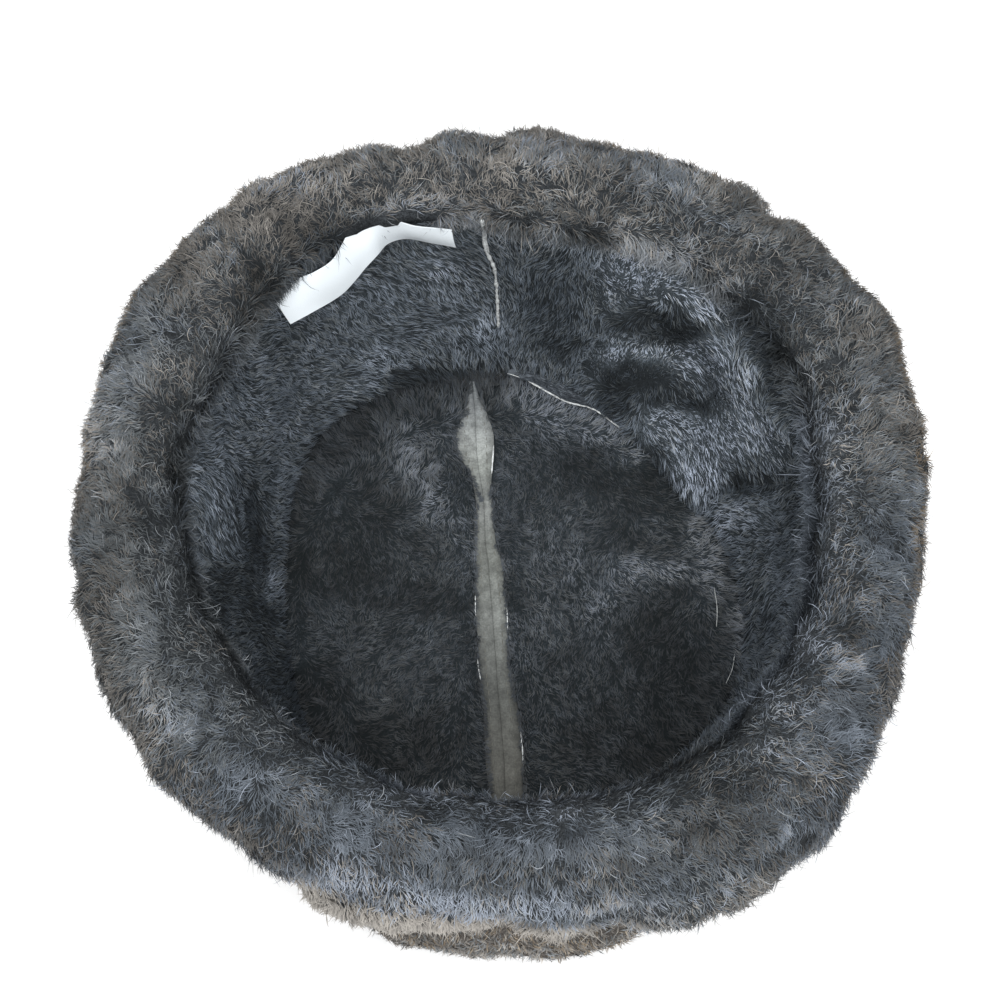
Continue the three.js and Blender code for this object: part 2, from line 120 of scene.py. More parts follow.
def cloud(places, lump, seed):
    """Soft noise between -1 and 1 at each place, in lumps of the given size in metres."""
    grid = places / lump + 31.7 * seed
    cell = np.floor(grid)
    part = grid - cell
    part = part * part * (3 - 2 * part)
    cell = cell.astype(np.int64)
    total = np.zeros(len(places))
    for corner in range(8):
        step = np.array([corner & 1, corner >> 1 & 1, corner >> 2 & 1])
        x, y, z = (cell + step).T
        mixed = (x * 374761393 + y * 668265263 + z * 1442695041 + seed * 97463477) & 0xFFFFFFFF
        mixed = ((mixed ^ (mixed >> 13)) * 1274126177) & 0xFFFFFFFF
        mixed = mixed ^ (mixed >> 16)
        weight = np.prod(np.where(step == 1, part, 1 - part), axis=1)
        total += weight * (mixed / 0x7FFFFFFF - 1)
    return total


def unit(vectors):
    return vectors / np.maximum(np.linalg.norm(vectors, axis=1, keepdims=True), 1e-12)


def bump_at(first, second, patches):
    """The sum at each place of soft round patches, each a row of: place, place, reach, reach, height."""
    total = np.zeros(len(first))
    for at_first, at_second, reach_first, reach_second, height in patches:
        near = ((first - at_first) / reach_first) ** 2 + ((second - at_second) / reach_second) ** 2
        total += height * np.exp(-near)
    return total


def vectors_of(mesh, kind):
    flat = np.empty(len(mesh.vertices) * 3, np.float32)
    mesh.vertices.foreach_get(kind, flat)
    return flat.reshape(-1, 3).astype(float)


def edit_all(piece, operator, **settings):
    """Runs one operator of edit mode on the whole of a piece, and leaves it selected alone."""
    bpy.ops.object.select_all(action="DESELECT")
    piece.select_set(True)
    bpy.context.view_layer.objects.active = piece
    bpy.ops.object.mode_set(mode="EDIT")
    bpy.ops.mesh.select_all(action="SELECT")
    operator(**settings)
    bpy.ops.object.mode_set(mode="OBJECT")


def apply_modifier(piece, name, kind, **settings):
    modifier = piece.modifiers.new(name, kind)
    for key, value in settings.items():
        setattr(modifier, key, value)
    bpy.context.view_layer.objects.active = piece
    bpy.ops.object.modifier_apply(modifier=modifier.name)


PICTURE_SIDE = 1000
PICTURE_REACH = PICTURE_SIDE * lens.lens / lens.sensor_width
SIGHT = np.array([0, math.cos(eye_rise), -math.sin(eye_rise)])
PICTURE_RIGHT = np.array([1.0, 0.0, 0.0])
PICTURE_UP = np.array([0, math.sin(eye_rise), math.cos(eye_rise)])


def seen_at(places):
    """How far across and down each place shows in the picture, in thousandths of its width."""
    from_eye = places - np.array(eye.location)
    depth = from_eye @ SIGHT
    across = PICTURE_SIDE / 2 + PICTURE_REACH * from_eye[:, 0] / depth
    return across, PICTURE_SIDE / 2 - PICTURE_REACH * (from_eye @ PICTURE_UP) / depth


def paler_at(places, patches, darkest, palest, steepness=1.5):
    """How much paler the pile is at each place, from ragged patches given as bump_at takes them, by
    where they show in the picture. Their sum is steepened and kept within bounds."""
    ragged = places + 0.002 * np.stack([cloud(places, 0.006, 91 + k) for k in range(3)], 1)
    return np.clip(steepness * bump_at(*seen_at(ragged), patches), darkest, palest)


def brushed(places, outs, lay, strokes):
    """The lay turned to strokes given by the picture: across, down, reach, and angle in degrees from
    its right-hand side upwards."""
    across, down = seen_at(places)
    facing = outs @ SIGHT
    total = unit(lay) * 0.4
    for at_across, at_down, reach, angle in strokes:
        near = np.exp(-(((across - at_across) / reach) ** 2) - ((down - at_down) / reach) ** 2)
        near = np.where(facing < -0.1, near, 0)
        way = PICTURE_RIGHT * math.cos(math.radians(angle)) + PICTURE_UP * math.sin(math.radians(angle))
        along = way - SIGHT * ((outs @ way) / np.minimum(facing, -0.1))[:, None]
        total += 1.6 * near[:, None] * unit(along)
    return total


def bearing_of(places):
    return np.degrees(np.arctan2(places[:, 1], places[:, 0])) % 360


def flattened(lay, outs):
    """The lay without what stands out of the skin."""
    return unit(lay - outs * (lay * outs).sum(1, keepdims=True))


def turned(lay, outs, turn):
    """The lay turned on the skin by an angle for each hair."""
    return lay * np.cos(turn)[:, None] + np.cross(outs, lay) * np.sin(turn)[:, None]


def around_at(places):
    """The direction round the hat at each place, from its right side towards its back."""
    return unit(np.stack([-places[:, 1], places[:, 0], np.zeros(len(places))], 1))


def outward_of(places, facings):
    return (unit(places * np.array([[1, 1, 0]])) * facings).sum(1)


DOWN = np.array([[0.0, 0.0, -1.0]])
LOWEST = 0.0002
CROWN_EDGE = 0.068


def move_skin(piece, places):
    """Moves a skin's points, none of them below the face that the hat rests on."""
    places[:, 2] = np.maximum(places[:, 2], LOWEST)
    piece.data.vertices.foreach_set("co", places.astype(np.float32).ravel())
    piece.data.update()


def skin(node, name, closeness, passes, sink, lumps=(), widen=0):
    """The node's solid as a close-meshed skin. Its coarse locks settle into soft swells, it sinks by
    the depth that the hairs fill again, lumps of the given size and height rise on it, and the edge
    that faces away from the middle is widened."""
    piece = link_new(name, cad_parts[node].data.copy())
    piece.data.materials.clear()
    edit_all(piece, bpy.ops.mesh.remove_doubles, threshold=0.00002)
    apply_modifier(piece, "Close mesh", "REMESH", mode="VOXEL", voxel_size=closeness)
    apply_modifier(piece, "Settle", "SMOOTH", factor=0.6, iterations=passes)
    places = vectors_of(piece.data, "co")
    rise = np.full(len(places), -sink)
    for seed, (size, height) in enumerate(lumps):
        rise += height * cloud(places, size, seed + 61)
    outs = vectors_of(piece.data, "normal")
    from_middle = np.hypot(places[:, 0], places[:, 1])
    rise += widen * np.clip(outward_of(places, outs), 0, 1) * (from_middle > CROWN_EDGE)
    move_skin(piece, places + outs * rise[:, None])
    bpy.ops.object.shade_smooth()
    return piece


def plant(piece, count, draw, wanted):
    """Roots of hairs on a skin, spread as wanted(places, facings) says: places and directions out."""
    mesh = piece.data
    mesh.calc_loop_triangles()
    corners = np.empty(len(mesh.loop_triangles) * 3, np.int32)
    mesh.loop_triangles.foreach_get("vertices", corners)
    corners = corners.reshape(-1, 3)
    places = vectors_of(mesh, "co")
    outs = vectors_of(mesh, "normal")
    a, b, c = (places[corners[:, k]] for k in range(3))
    cross = np.cross(b - a, c - a)
    weight = np.linalg.norm(cross, axis=1) * wanted((a + b + c) / 3, unit(cross))
    picks = draw.choice(len(weight), size=count, p=weight / weight.sum())
    along = np.sqrt(draw.random(count))
    across = draw.random(count)
    shares = np.stack([1 - along, along * (1 - across), along * across], 1)[:, :, None]
    return (places[corners[picks]] * shares).sum(1), unit((outs[corners[picks]] * shares).sum(1))


def tufts_of(roots, size, seed):
    """The number of the tuft that each hair belongs to, for ragged tufts of about the given size."""
    warp = np.stack([cloud(roots, size * 1.7, seed + k) for k in range(3)], 1)
    cells = np.floor((roots + warp * size * 0.8) / size).astype(np.int64)
    return np.unique(cells, axis=0, return_inverse=True)[1].reshape(-1)


def by_tuft(which, spread, draw):
    """One random value for each tuft, handed to its hairs."""
    return draw.normal(0, spread, which.max() + 1)[which]


def gather(paths, which, pull):
    """Draws the hairs' tips together into their tufts."""
    count = np.bincount(which)
    for k in range(1, paths.shape[1]):
        middle = np.stack(
            [np.bincount(which, weights=paths[:, k, axis]) / count for axis in range(3)], 1
        )
        share = k / (paths.shape[1] - 1)
        paths[:, k] += pull * share * (middle[which] - paths[:, k])


# Hairs carry their colour in their own map: across it run the four tints, each from dark to pale,
# and up it each hair runs from root to tip.
GREY, BLUE, BROWN, GOLD = range(4)
ROOT_DEPTH = 0.0004


def grow(name, roots, outs, lay, shape, tone, tint, draw, which, pull):
    """A pelt of flat hairs, pointed at both ends, as one mesh. shape gives each hair's length and
    width in metres, its lean from upright, droop and curl by the tip in radians, and its number of
    links, as one value or one for each hair. The hairs are shaded softly, by the way that the skin
    faces more than by their own."""
    count = len(roots)
    links = shape["links"]
    lay = flattened(lay, outs)
    side = np.cross(outs, lay)
    paths = np.empty((count, links + 1, 3))
    flats = np.empty((count, links, 3))
    paths[:, 0] = roots - outs * ROOT_DEPTH
    roll = draw.normal(0, 0.5, count)[:, None]
    for k in range(links):
        share = (k + 0.5) / links
        lean = (shape["lean"] + shape["droop"] * share)[:, None]
        turn = (shape["curl"] * share)[:, None]
        along = lay * np.cos(turn) + side * np.sin(turn)
        direction = outs * np.cos(lean) + along * np.sin(lean)
        flat = np.cross(outs, along)
        flats[:, k] = flat * np.cos(roll) + np.cross(direction, flat) * np.sin(roll)
        paths[:, k + 1] = paths[:, k] + direction * (shape["length"] / links)[:, None]
    gather(paths, which, pull)
    paths[:, :, 2] = np.maximum(paths[:, :, 2], LOWEST + 0.0001)

    joints = links - 1
    spread = flats[:, :joints] * np.reshape(shape["width"] / 2, (-1, 1, 1))
    spread = spread * np.linspace(1, 0.75, joints)[None, :, None]
    points = np.empty((count, 2 * joints + 2, 3))
    points[:, 0] = paths[:, 0]
    points[:, 1 : 2 * joints : 2] = paths[:, 1:links] - spread
    points[:, 2 : 2 * joints + 1 : 2] = paths[:, 1:links] + spread
    points[:, -1] = paths[:, links]

    face_corners = [0, 1, 2]
    face_sizes = [3]
    for k in range(joints - 1):
        left = 2 * k + 1
        face_corners += [left, left + 2, left + 3, left + 1]
        face_sizes.append(4)
    face_corners += [2 * joints - 1, 2 * joints + 1, 2 * joints]
    face_sizes.append(3)
    face_corners = np.array(face_corners)
    corner_index = (np.arange(count) * (2 * joints + 2))[:, None] + face_corners[None, :]
    starts = np.concatenate([[0], np.cumsum(face_sizes)[:-1]])
    starts = (np.arange(count) * len(face_corners))[:, None] + starts[None, :]

    mesh = bpy.data.meshes.new(name)
    mesh.vertices.add(points.size // 3)
    mesh.vertices.foreach_set("co", points.astype(np.float32).ravel())
    mesh.loops.add(corner_index.size)
    mesh.loops.foreach_set("vertex_index", corner_index.astype(np.int32).ravel())
    mesh.polygons.add(starts.size)
    mesh.polygons.foreach_set("loop_start", starts.astype(np.int32).ravel())
    mesh.polygons.foreach_set("use_smooth", np.ones(starts.size, bool))

    level = np.concatenate([[0], np.repeat(np.arange(1, links) / links, 2), [1]])
    flank = np.concatenate([[0], np.tile([-1.0, 1.0], joints), [0]])
    column = (tint + 0.06 + 0.88 * np.clip(tone, 0, 1)) / 4
    hair_map = np.empty((count, len(face_corners), 2))
    hair_map[:, :, 0] = column[:, None] + 0.002 * flank[face_corners][None, :]
    hair_map[:, :, 1] = 0.02 + 0.96 * level[face_corners][None, :]
    mesh.uv_layers.new(name="OFBake").data.foreach_set("uv", hair_map.astype(np.float32).ravel())
    mesh.update(calc_edges=True)
    own = unit(np.cross(paths[:, links] - paths[:, 0], flats[:, 0]))
    facing = unit(outs + 0.45 * own + draw.normal(0, 0.12, (count, 3)))
    mesh.normals_split_custom_set_from_vertices(np.repeat(facing, 2 * joints + 2, axis=0))
    return link_new(name, mesh)


def add_node(tree, kind, group=None, **sockets):
    """A new node with plain values on its sockets, whose names have _ for a space here."""
    node = tree.nodes.new(kind)
    if group:
        node.node_tree = group
    for key, value in sockets.items():
        node.inputs[key.replace("_", " ")].default_value = value
    return node


def add_operation(tree, kind, operation):
    node = tree.nodes.new(kind)
    node.operation = operation
    return node


def own_map(tree):
    node = tree.nodes.new("ShaderNodeUVMap")
    node.uv_map = "OFBake"
    return node


def wire(tree, *links):
    """Joins nodes: each link is a node and its output, then a node and its input."""
    for source, output, target, socket in links:
        tree.links.new(source.outputs[output], target.inputs[socket])


def ramp(tree, stops):
    node = tree.nodes.new("ShaderNodeValToRGB")
    points = node.color_ramp.elements
    while len(points) < len(stops):
        points.new(1)
    for point, (position, value) in zip(points, stops):
        point.position = position
        point.color = value if isinstance(value, tuple) else (value, value, value, 1)
    return node


def new_group(name, inputs, outputs):
    group = bpy.data.node_groups.new(name, "ShaderNodeTree")
    for label, kind in inputs:
        group.interface.new_socket(name=label, in_out="INPUT", socket_type="NodeSocket" + kind)
    for label, kind in outputs:
        group.interface.new_socket(name=label, in_out="OUTPUT", socket_type="NodeSocket" + kind)
    return group, group.nodes.new("NodeGroupInput"), group.nodes.new("NodeGroupOutput")


def new_finish(name, roughness, gloss):
    finish = bpy.data.materials.new(name)
    finish.use_nodes = True
    shader = finish.node_tree.nodes["Principled BSDF"]
    shader.inputs["Roughness"].default_value = roughness
    shader.inputs["Specular IOR Level"].default_value = gloss
    return finish, finish.node_tree, shader


def surface(tree, shader, colour, height, strength, distance):
    """Leads a colour and, through a bump, a height to the shader, each given as node and output."""
    bump = add_node(tree, "ShaderNodeBump", Strength=strength, Distance=distance)
    wire(
        tree,
        (*colour, shader, "Base Color"),
        (*height, bump, "Height"),
        (bump, "Normal", shader, "Normal"),
    )


# The colour of one hair: its tint and shade, dark at the root and paler at the tip. The dark root is
# partly painted shade between the hairs, the pale tip partly a painted highlight
HAIR_TINTS = [
    (srgb(43, 47, 49), srgb(99, 104, 107), srgb(170, 175, 180)),
    (srgb(42, 48, 54), srgb(97, 105, 114), srgb(168, 177, 191)),
    (srgb(48, 46, 43), srgb(104, 101, 97), srgb(174, 169, 162)),
    (srgb(62, 53, 42), srgb(114, 101, 84), srgb(178, 166, 148)),
]
hair_colour, hair_in, hair_out = new_group(
    "hair colour",
    [("Map", "Vector"), ("Brightness", "Float"), ("Root", "Float")],
    [("Color", "Color")],
)
split = hair_colour.nodes.new("ShaderNodeSeparateXYZ")
tint_stops = []
for row, (dark, middle, pale) in enumerate(HAIR_TINTS):
    tint_stops += [((row + 0.06) / 4, dark), ((row + 0.5) / 4, middle), ((row + 0.94) / 4, pale)]
tints = ramp(hair_colour, tint_stops)
up_hair = add_node(hair_colour, "ShaderNodeMapRange", From_Min=0.05, From_Max=0.85)
scale_up = add_operation(hair_colour, "ShaderNodeMath", "MULTIPLY")
tinted = add_operation(hair_colour, "ShaderNodeVectorMath", "SCALE")
wire(
    hair_colour,
    (hair_in, "Map", split, "Vector"),
    (split, "X", tints, "Fac"),
    (split, "Y", up_hair, "Value"),
    (hair_in, "Root", up_hair, "To Min"),
    (up_hair, "Result", scale_up, 0),
    (hair_in, "Brightness", scale_up, 1),
    (tints, "Color", tinted, 0),
    (scale_up, 0, tinted, "Scale"),
    (tinted, 0, hair_out, "Color"),
)


def hair_finish(name, brightness, root, roughness, gloss):
    finish, tree, shader = new_finish(name, roughness, gloss)
    colour = add_node(tree, "ShaderNodeGroup", hair_colour, Brightness=brightness, Root=root)
    wire(tree, (own_map(tree), "UV", colour, "Map"), (colour, "Color", shader, "Base Color"))
    return finish


# The wool under the hairs: matted fine fibres, with painted shade dark between them, as pale as
# the pile over it
matted_wool, wool_in, wool_out = new_group(
    "matted wool",
    [("Place", "Vector"), ("Tone", "Float"), ("Dark", "Color"), ("Pale", "Color"),
     ("Fineness", "Float")],
    [("Color", "Color"), ("Height", "Float")],
)
fibres = add_node(matted_wool, "ShaderNodeTexNoise", Detail=4.0, Roughness=0.65, Distortion=1.2)
patches = add_node(matted_wool, "ShaderNodeTexNoise", Scale=90.0, Detail=2.0)
fibre_shade = ramp(matted_wool, [(0.36, 0.0), (0.62, 1.0)])
patch_shade = ramp(matted_wool, [(0.3, 0.35), (0.7, 1.0)])
both = add_operation(matted_wool, "ShaderNodeMath", "MULTIPLY")
toned = add_operation(matted_wool, "ShaderNodeMath", "MULTIPLY")
blend = matted_wool.nodes.new("ShaderNodeMix")
blend.data_type = "RGBA"
wire(
    matted_wool,
    (wool_in, "Place", fibres, "Vector"),
    (wool_in, "Place", patches, "Vector"),
    (wool_in, "Fineness", fibres, "Scale"),
    (fibres, "Fac", fibre_shade, "Fac"),
    (patches, "Fac", patch_shade, "Fac"),
    (fibre_shade, "Color", both, 0),
    (patch_shade, "Color", both, 1),
    (both, 0, toned, 0),
    (wool_in, "Tone", toned, 1),
    (toned, 0, blend, "Factor"),
    (wool_in, "Dark", blend, "A"),
    (wool_in, "Pale", blend, "B"),
    (blend, "Result", wool_out, "Color"),
    (fibre_shade, "Color", wool_out, "Height"),
)


def wool_finish(name, dark, pale, fineness):
    finish, tree, shader = new_finish(name, 0.9, 0.15)
    place = tree.nodes.new("ShaderNodeTexCoord")
    wool = add_node(tree, "ShaderNodeGroup", matted_wool, Dark=dark, Pale=pale, Fineness=fineness)
    tone = tree.nodes.new("ShaderNodeAttribute")
    tone.attribute_name = "pile_tone"
    wire(tree, (place, "Object", wool, "Place"), (tone, "Fac", wool, "Tone"))
    surface(tree, shader, (wool, "Color"), (wool, "Height"), 0.8, 0.0005)
    return finish


def tone_skin(piece, tone_at):
    """Keeps at each point of a skin how pale its pile is, twice the tone of the hairs."""
    tones = np.clip(2 * tone_at(vectors_of(piece.data, "co")), 0, 1.6)
    piece.data.attributes.new("pile_tone", "FLOAT", "POINT").data.foreach_set(
        "value", tones.astype(np.float32)
    )


def fit_out(piece, finish, slot, *nodes):
    """Gives a piece its material and its place among the parts that it stands for."""
    piece.data.materials.append(finish)
    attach(piece, "root")
    if nodes:
        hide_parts(*nodes)


# The seam's middle line and the widths of its two leather allowances, from front to back, in mm, and
# how far the tufts along it lie from the middle of the hat and above its resting face
SEAM_Y = [-84, -70, -61, -52, -43, -34, -25, -16, -6, 4, 13, 20, 29, 34, 38, 42, 49, 56, 65, 74, 82,
          88]
SEAM_MIDDLE = [1.9, 1.7, 1.4, 0.7, 0, -0.9, -1.4, -2.1, -2.8, -3.6, -4.3, -5.3, -5.6, -5.8, -6,
               -6.6, -7.7, -8.6, -9.1, -9.4, -10.2, -10.6]
SEAM_LEFT = [5, 5.1, 5.8, 5.5, 5.2, 5.4, 6.2, 5.3, 5.7, 5, 4, 3.6, 3.4, 2.4, 1.2, 1.6, 3.2, 6.6,
             7.2, 3.6, 1.5, 1]
SEAM_RIGHT = [5.6, 5.8, 6.2, 6.4, 5.9, 4.9, 3.8, 4.6, 5, 4.8, 5, 3.4, 2.9, 3.1, 2.5, 3, 4.4, 5.9,
              6.5, 4, 1.6, 1]
SEAM_END = 84
SEAM_CLEAR = 0.3
SEAM_LEVEL = 15.2

# The two halves of the crown: side, widths of the allowance, and bearings of the tufts over the
# groove; then the hairs of each half, of its tufts along the seam and of those over the groove
CROWN_HALVES = [
    {"half": "left", "side": -1, "allowance": SEAM_LEFT, "groove": (92, 128)},
    {"half": "right", "side": 1, "allowance": SEAM_RIGHT, "groove": (70, 98)},
]
CROWN_HAIRS = 27000
SEAM_TUFTS = 1900
GROOVE_TUFTS = 1100
CROWN_FLOOR = 0.0115
# Where the seam runs bare to its edge at the back right, in mm
BARE_EDGE = (45, 63)
# Where the pile stands up bristly, in the picture
BRISTLY = [(415, 475, 36, 36, 1)]

# Painted sheen and shade on the crown's pile: patches painted paler where the brushed pile catches
# the light and darker where it lies in shade, as they show in the picture: across, down, reach
# across, reach down, and how much paler
CROWN_SHEEN_AND_SHADE = [
    (404, 462, 18, 20, 0.34),
    (428, 500, 20, 20, 0.3),
    (440, 462, 12, 18, 0.12),
    (425, 438, 22, 14, 0.16),
    (378, 427, 7, 5, 0.3),
    (370, 440, 16, 26, -0.16),
    (372, 505, 24, 34, -0.18),
    (330, 560, 46, 30, -0.2),
    (435, 600, 44, 14, -0.24),
    (385, 590, 50, 16, -0.15),
    (405, 650, 50, 22, 0.04),
    (435, 628, 26, 14, 0.1),
    (380, 742, 75, 30, -0.24),
    (310, 700, 30, 34, -0.24),
    (440, 725, 32, 26, -0.12),
    (466, 560, 8, 60, 0.16),
    (400, 385, 44, 10, -0.34),
    (365, 410, 22, 14, -0.28),
    (318, 440, 16, 26, -0.2),
    (500, 388, 26, 12, 0.14),
    (515, 408, 12, 14, 0.1),
    (520, 402, 24, 16, 0.3),
    (560, 406, 32, 15, 0.5),
    (594, 428, 30, 14, 0.56),
    (630, 454, 24, 12, 0.44),
    (446, 425, 14, 26, 0.16),
    (448, 540, 12, 46, 0.12),
    (512, 470, 22, 42, 0.14),
    (545, 545, 44, 36, 0.1),
    (548, 430, 10, 10, 0.12),
    (582, 470, 26, 20, -0.2),
    (645, 482, 38, 30, -0.18),
    (562, 520, 24, 22, 0.1),
    (634, 567, 26, 13, 0.6),
    (604, 596, 22, 15, 0.34),
    (674, 573, 22, 10, 0.5),
    (560, 560, 34, 30, 0.12),
    (560, 622, 36, 24, 0.12),
    (520, 640, 18, 26, 0.1),
    (662, 625, 30, 50, -0.18),
    (678, 700, 28, 46, -0.26),
    (635, 730, 46, 40, -0.22),
    (585, 730, 46, 40, -0.08),
    (694, 525, 11, 26, 0.6),
    (708, 572, 12, 28, 0.66),
    (736, 620, 10, 46, 0.44),
]
CROWN_STROKES = [
    (460, 575, 32, -120),
    (452, 655, 36, -128),
    (400, 650, 40, -150),
    (410, 480, 26, 70),
    (375, 480, 24, 70),
    (540, 590, 42, -52),
    (545, 680, 48, -68),
    (580, 425, 44, -30),
    (630, 470, 36, -50),
    (640, 570, 28, -18),
    (350, 560, 50, -100),
    (640, 690, 50, -95),
]


def edge_lean(roots):
    """How far a root is on the crown's edge, where the pile leans out over the groove."""
    return np.clip((np.hypot(roots[:, 0], roots[:, 1]) - 0.071) / 0.008, 0, 1)


def crown_tone(places):
    # Painted sheen and shade from the patches, and painted shade darker on the crown's edge, in the
    # groove with the wall
    tone = 0.3 + paler_at(places, CROWN_SHEEN_AND_SHADE, -0.24, 0.58) - 0.06 * edge_lean(places)
    return tone + 0.12 * cloud(places, 0.009, 7) + 0.16 * cloud(places, 0.0036, 8)


# Painted shade: the crown's wool and pile are made darker than the wall's, of the same sheepskin, for
# the shade on the hollow's floor
crown_wool = wool_finish("crown wool", srgb(30, 35, 37), srgb(62, 69, 75), 1500)
crown_hair = hair_finish("crown pile", 0.56, 0.4, 0.6, 0.3)
for crown in CROWN_HALVES:
    half, side = crown["half"], crown["side"]
    draw = np.random.default_rng(11 + side)
    base = skin(f"lining_crown_{half}", f"crown_wool_{half}", 0.0024, 3, 0.0002, widen=0.0026)
    tone_skin(base, crown_tone)
    fit_out(base, crown_wool, "crown_lining_fur", f"lining_crown_{half}")

    def open_pile(places, facings):
        x, y = places[:, 0] * 1000, places[:, 1] * 1000
        allowance = np.interp(y, SEAM_Y, crown["allowance"])
        clear = side * (x - np.interp(y, SEAM_Y, SEAM_MIDDLE)) > allowance + SEAM_CLEAR
        return (facings[:, 2] > -0.1) * (places[:, 2] > CROWN_FLOOR) * clear * 1.0

    roots, outs = plant(base, CROWN_HAIRS, draw, open_pile)

    # Tufts that fall over the leather's edge, and over the groove at the back
    edge_y = draw.uniform(-SEAM_END, SEAM_END, SEAM_TUFTS)
    if side > 0:
        edge_y = edge_y[(edge_y < BARE_EDGE[0]) | (edge_y > BARE_EDGE[1])]
    lies = np.interp(edge_y, SEAM_Y, crown["allowance"])
    edge_x = np.interp(edge_y, SEAM_Y, SEAM_MIDDLE)
    edge_x += side * (lies + SEAM_CLEAR + draw.exponential(0.5, len(edge_y)))
    over_seam = np.stack([edge_x, edge_y, np.full(len(edge_y), SEAM_LEVEL)], 1) * 0.001
    bearing = np.radians(draw.uniform(*crown["groove"], GROOVE_TUFTS))
    reach = draw.uniform(83, 91, GROOVE_TUFTS)
    level = draw.uniform(12, 15, GROOVE_TUFTS)
    over_groove = np.stack([reach * np.cos(bearing), reach * np.sin(bearing), level], 1) * 0.001
    roots = np.concatenate([roots, over_seam, over_groove])
    added = len(over_seam) + len(over_groove)
    outs = np.concatenate([outs, np.tile([0.0, 0.0, 1.0], (added, 1))])
    count = len(roots)
    at_seam = slice(count - added, count - len(over_groove))
    which = tufts_of(roots, 0.0026, 5)
    turn = 2 * cloud(roots, 0.02, 3) - 1.3
    lay = np.stack([np.cos(turn), np.sin(turn), np.zeros(count)], 1)
    lay = unit(brushed(roots, outs, lay, CROWN_STROKES))
    lay += roots * np.array([[50, 50, 0]]) * edge_lean(roots)[:, None]
    lay[at_seam] = 0.7 * lay[at_seam] + np.array([-0.6 * side, -0.5, 0])
    bristly = bump_at(*seen_at(roots), BRISTLY)
    turn = 0.6 * cloud(roots, 0.006, 4) + by_tuft(which, 0.35, draw) + draw.normal(0, 0.3, count)
    turn += 1.6 * bristly * cloud(roots, 0.0045, 9)
    lay = turned(flattened(lay, outs), outs, turn)
    length = 0.0036 * (0.7 + 0.6 * draw.random(count)) * (1 + 0.4 * edge_lean(roots))
    length[at_seam] *= 0.62
    shape = {
        "length": length,
        "width": 0.00026,
        "lean": 1.15 - 0.35 * bristly + draw.normal(0, 0.16, count),
        "droop": 0.25,
        "curl": draw.normal(0, 0.5, count),
        "links": 2,
    }
    tone = crown_tone(roots) + by_tuft(which, 0.05, draw) + draw.normal(0, 0.07, count)
    dice = draw.random(count) + 0.3 * cloud(roots, 0.02, 6)
    tint = np.where(dice < 0.5, BLUE, GREY)
    pile = grow(f"crown_pile_{half}", roots, outs, lay, shape, tone, tint, draw, which, 0.35)
    fit_out(pile, crown_hair, "crown_lining_fur")


# The lining's wall
# One band of the same sheepskin, pile inwards, brushed flat: painted paler, as sheen, where it lies
# towards the light and darker, as shade, in its folds. It is sewn to the crown below and to the cuff
# at the crease.

# Painted sheen and shade on the wall's pile: patches painted paler where it catches the light and
# darker in its shaded folds and by the crease, as they show in the picture: across, down, reach
# across, reach down, and how much paler
WALL_SHEEN_AND_SHADE = [
    (655, 268, 44, 24, 0.42),
    (612, 296, 14, 14, 0.2),
    (705, 300, 22, 18, 0.34),
    (736, 300, 8, 13, 0.24),
    (664, 319, 22, 12, -0.66),
    (672, 338, 20, 6, -0.3),
    (636, 324, 22, 8, -0.34),
    (690, 327, 14, 8, -0.4),
    (612, 357, 20, 10, 0.3),
    (650, 354, 22, 7, 0.26),
    (702, 355, 28, 14, 0.36),
    (738, 378, 14, 20, 0.34),
    (634, 384, 22, 15, -0.7),
    (664, 392, 14, 11, -0.5),
    (692, 403, 20, 7, -0.5),
    (612, 402, 12, 12, -0.4),
    (664, 424, 24, 11, 0.38),
    (705, 432, 34, 18, 0.38),
    (748, 428, 22, 22, 0.38),
    (692, 470, 24, 22, 0.38),
    (780, 452, 12, 18, 0.16),
    (745, 484, 18, 9, -0.46),
    (772, 480, 16, 8, -0.3),
    (735, 520, 22, 16, 0.18),
    (757, 318, 9, 26, -0.34),
    (772, 380, 10, 36, -0.34),
    (792, 450, 8, 40, -0.14),
    (792, 530, 12, 40, -0.12),
    (762, 625, 20, 40, -0.06),
    (740, 710, 30, 40, -0.08),
    (700, 765, 40, 26, -0.16),
    (550, 300, 46, 50, -0.12),
    (562, 344, 28, 13, -0.16),
    (432, 268, 20, 11, 0.14),
    (482, 322, 22, 18, 0.12),
    (372, 368, 18, 18, 0.16),
    (388, 272, 12, 9, -0.14),
    (420, 372, 50, 8, -0.3),
    (215, 520, 20, 26, 0.05),
    (222, 575, 18, 20, -0.14),
    (222, 480, 20, 28, 0.05),
    (272, 660, 40, 50, -0.1),
    (184, 430, 12, 60, -0.03),
    (192, 585, 12, 44, -0.1),
    (250, 500, 12, 20, -0.2),
    (252, 545, 20, 28, -0.22),
    (250, 605, 24, 36, -0.18),
    (270, 586, 8, 12, 0.26),
    (212, 612, 14, 28, -0.24),
    (300, 700, 40, 40, -0.26),
]
WALL_STROKES = [
    (612, 290, 24, 62),
    (645, 262, 28, 26),
    (690, 268, 24, -6),
    (716, 300, 26, -34),
    (612, 362, 22, 50),
    (650, 352, 24, 8),
    (700, 350, 26, -12),
    (736, 385, 26, -40),
    (670, 428, 26, -4),
    (716, 436, 34, -14),
    (694, 475, 26, -46),
    (766, 450, 24, -30),
    (430, 290, 60, -18),
    (350, 340, 50, -24),
    (290, 420, 50, -60),
    (222, 510, 36, -88),
    (550, 300, 40, -96),
    (740, 600, 40, -100),
]
# Which way the wall's pile is brushed: bearing, and turn from straight down towards lower bearings
WALL_BRUSH = [
    (0, -0.45),
    (60, -0.6),
    (80, -0.2),
    (100, 0.7),
    (120, 1.2),
    (150, 1),
    (175, 0.43),
    (230, 0),
    (310, -0.2),
    (360, -0.45),
]


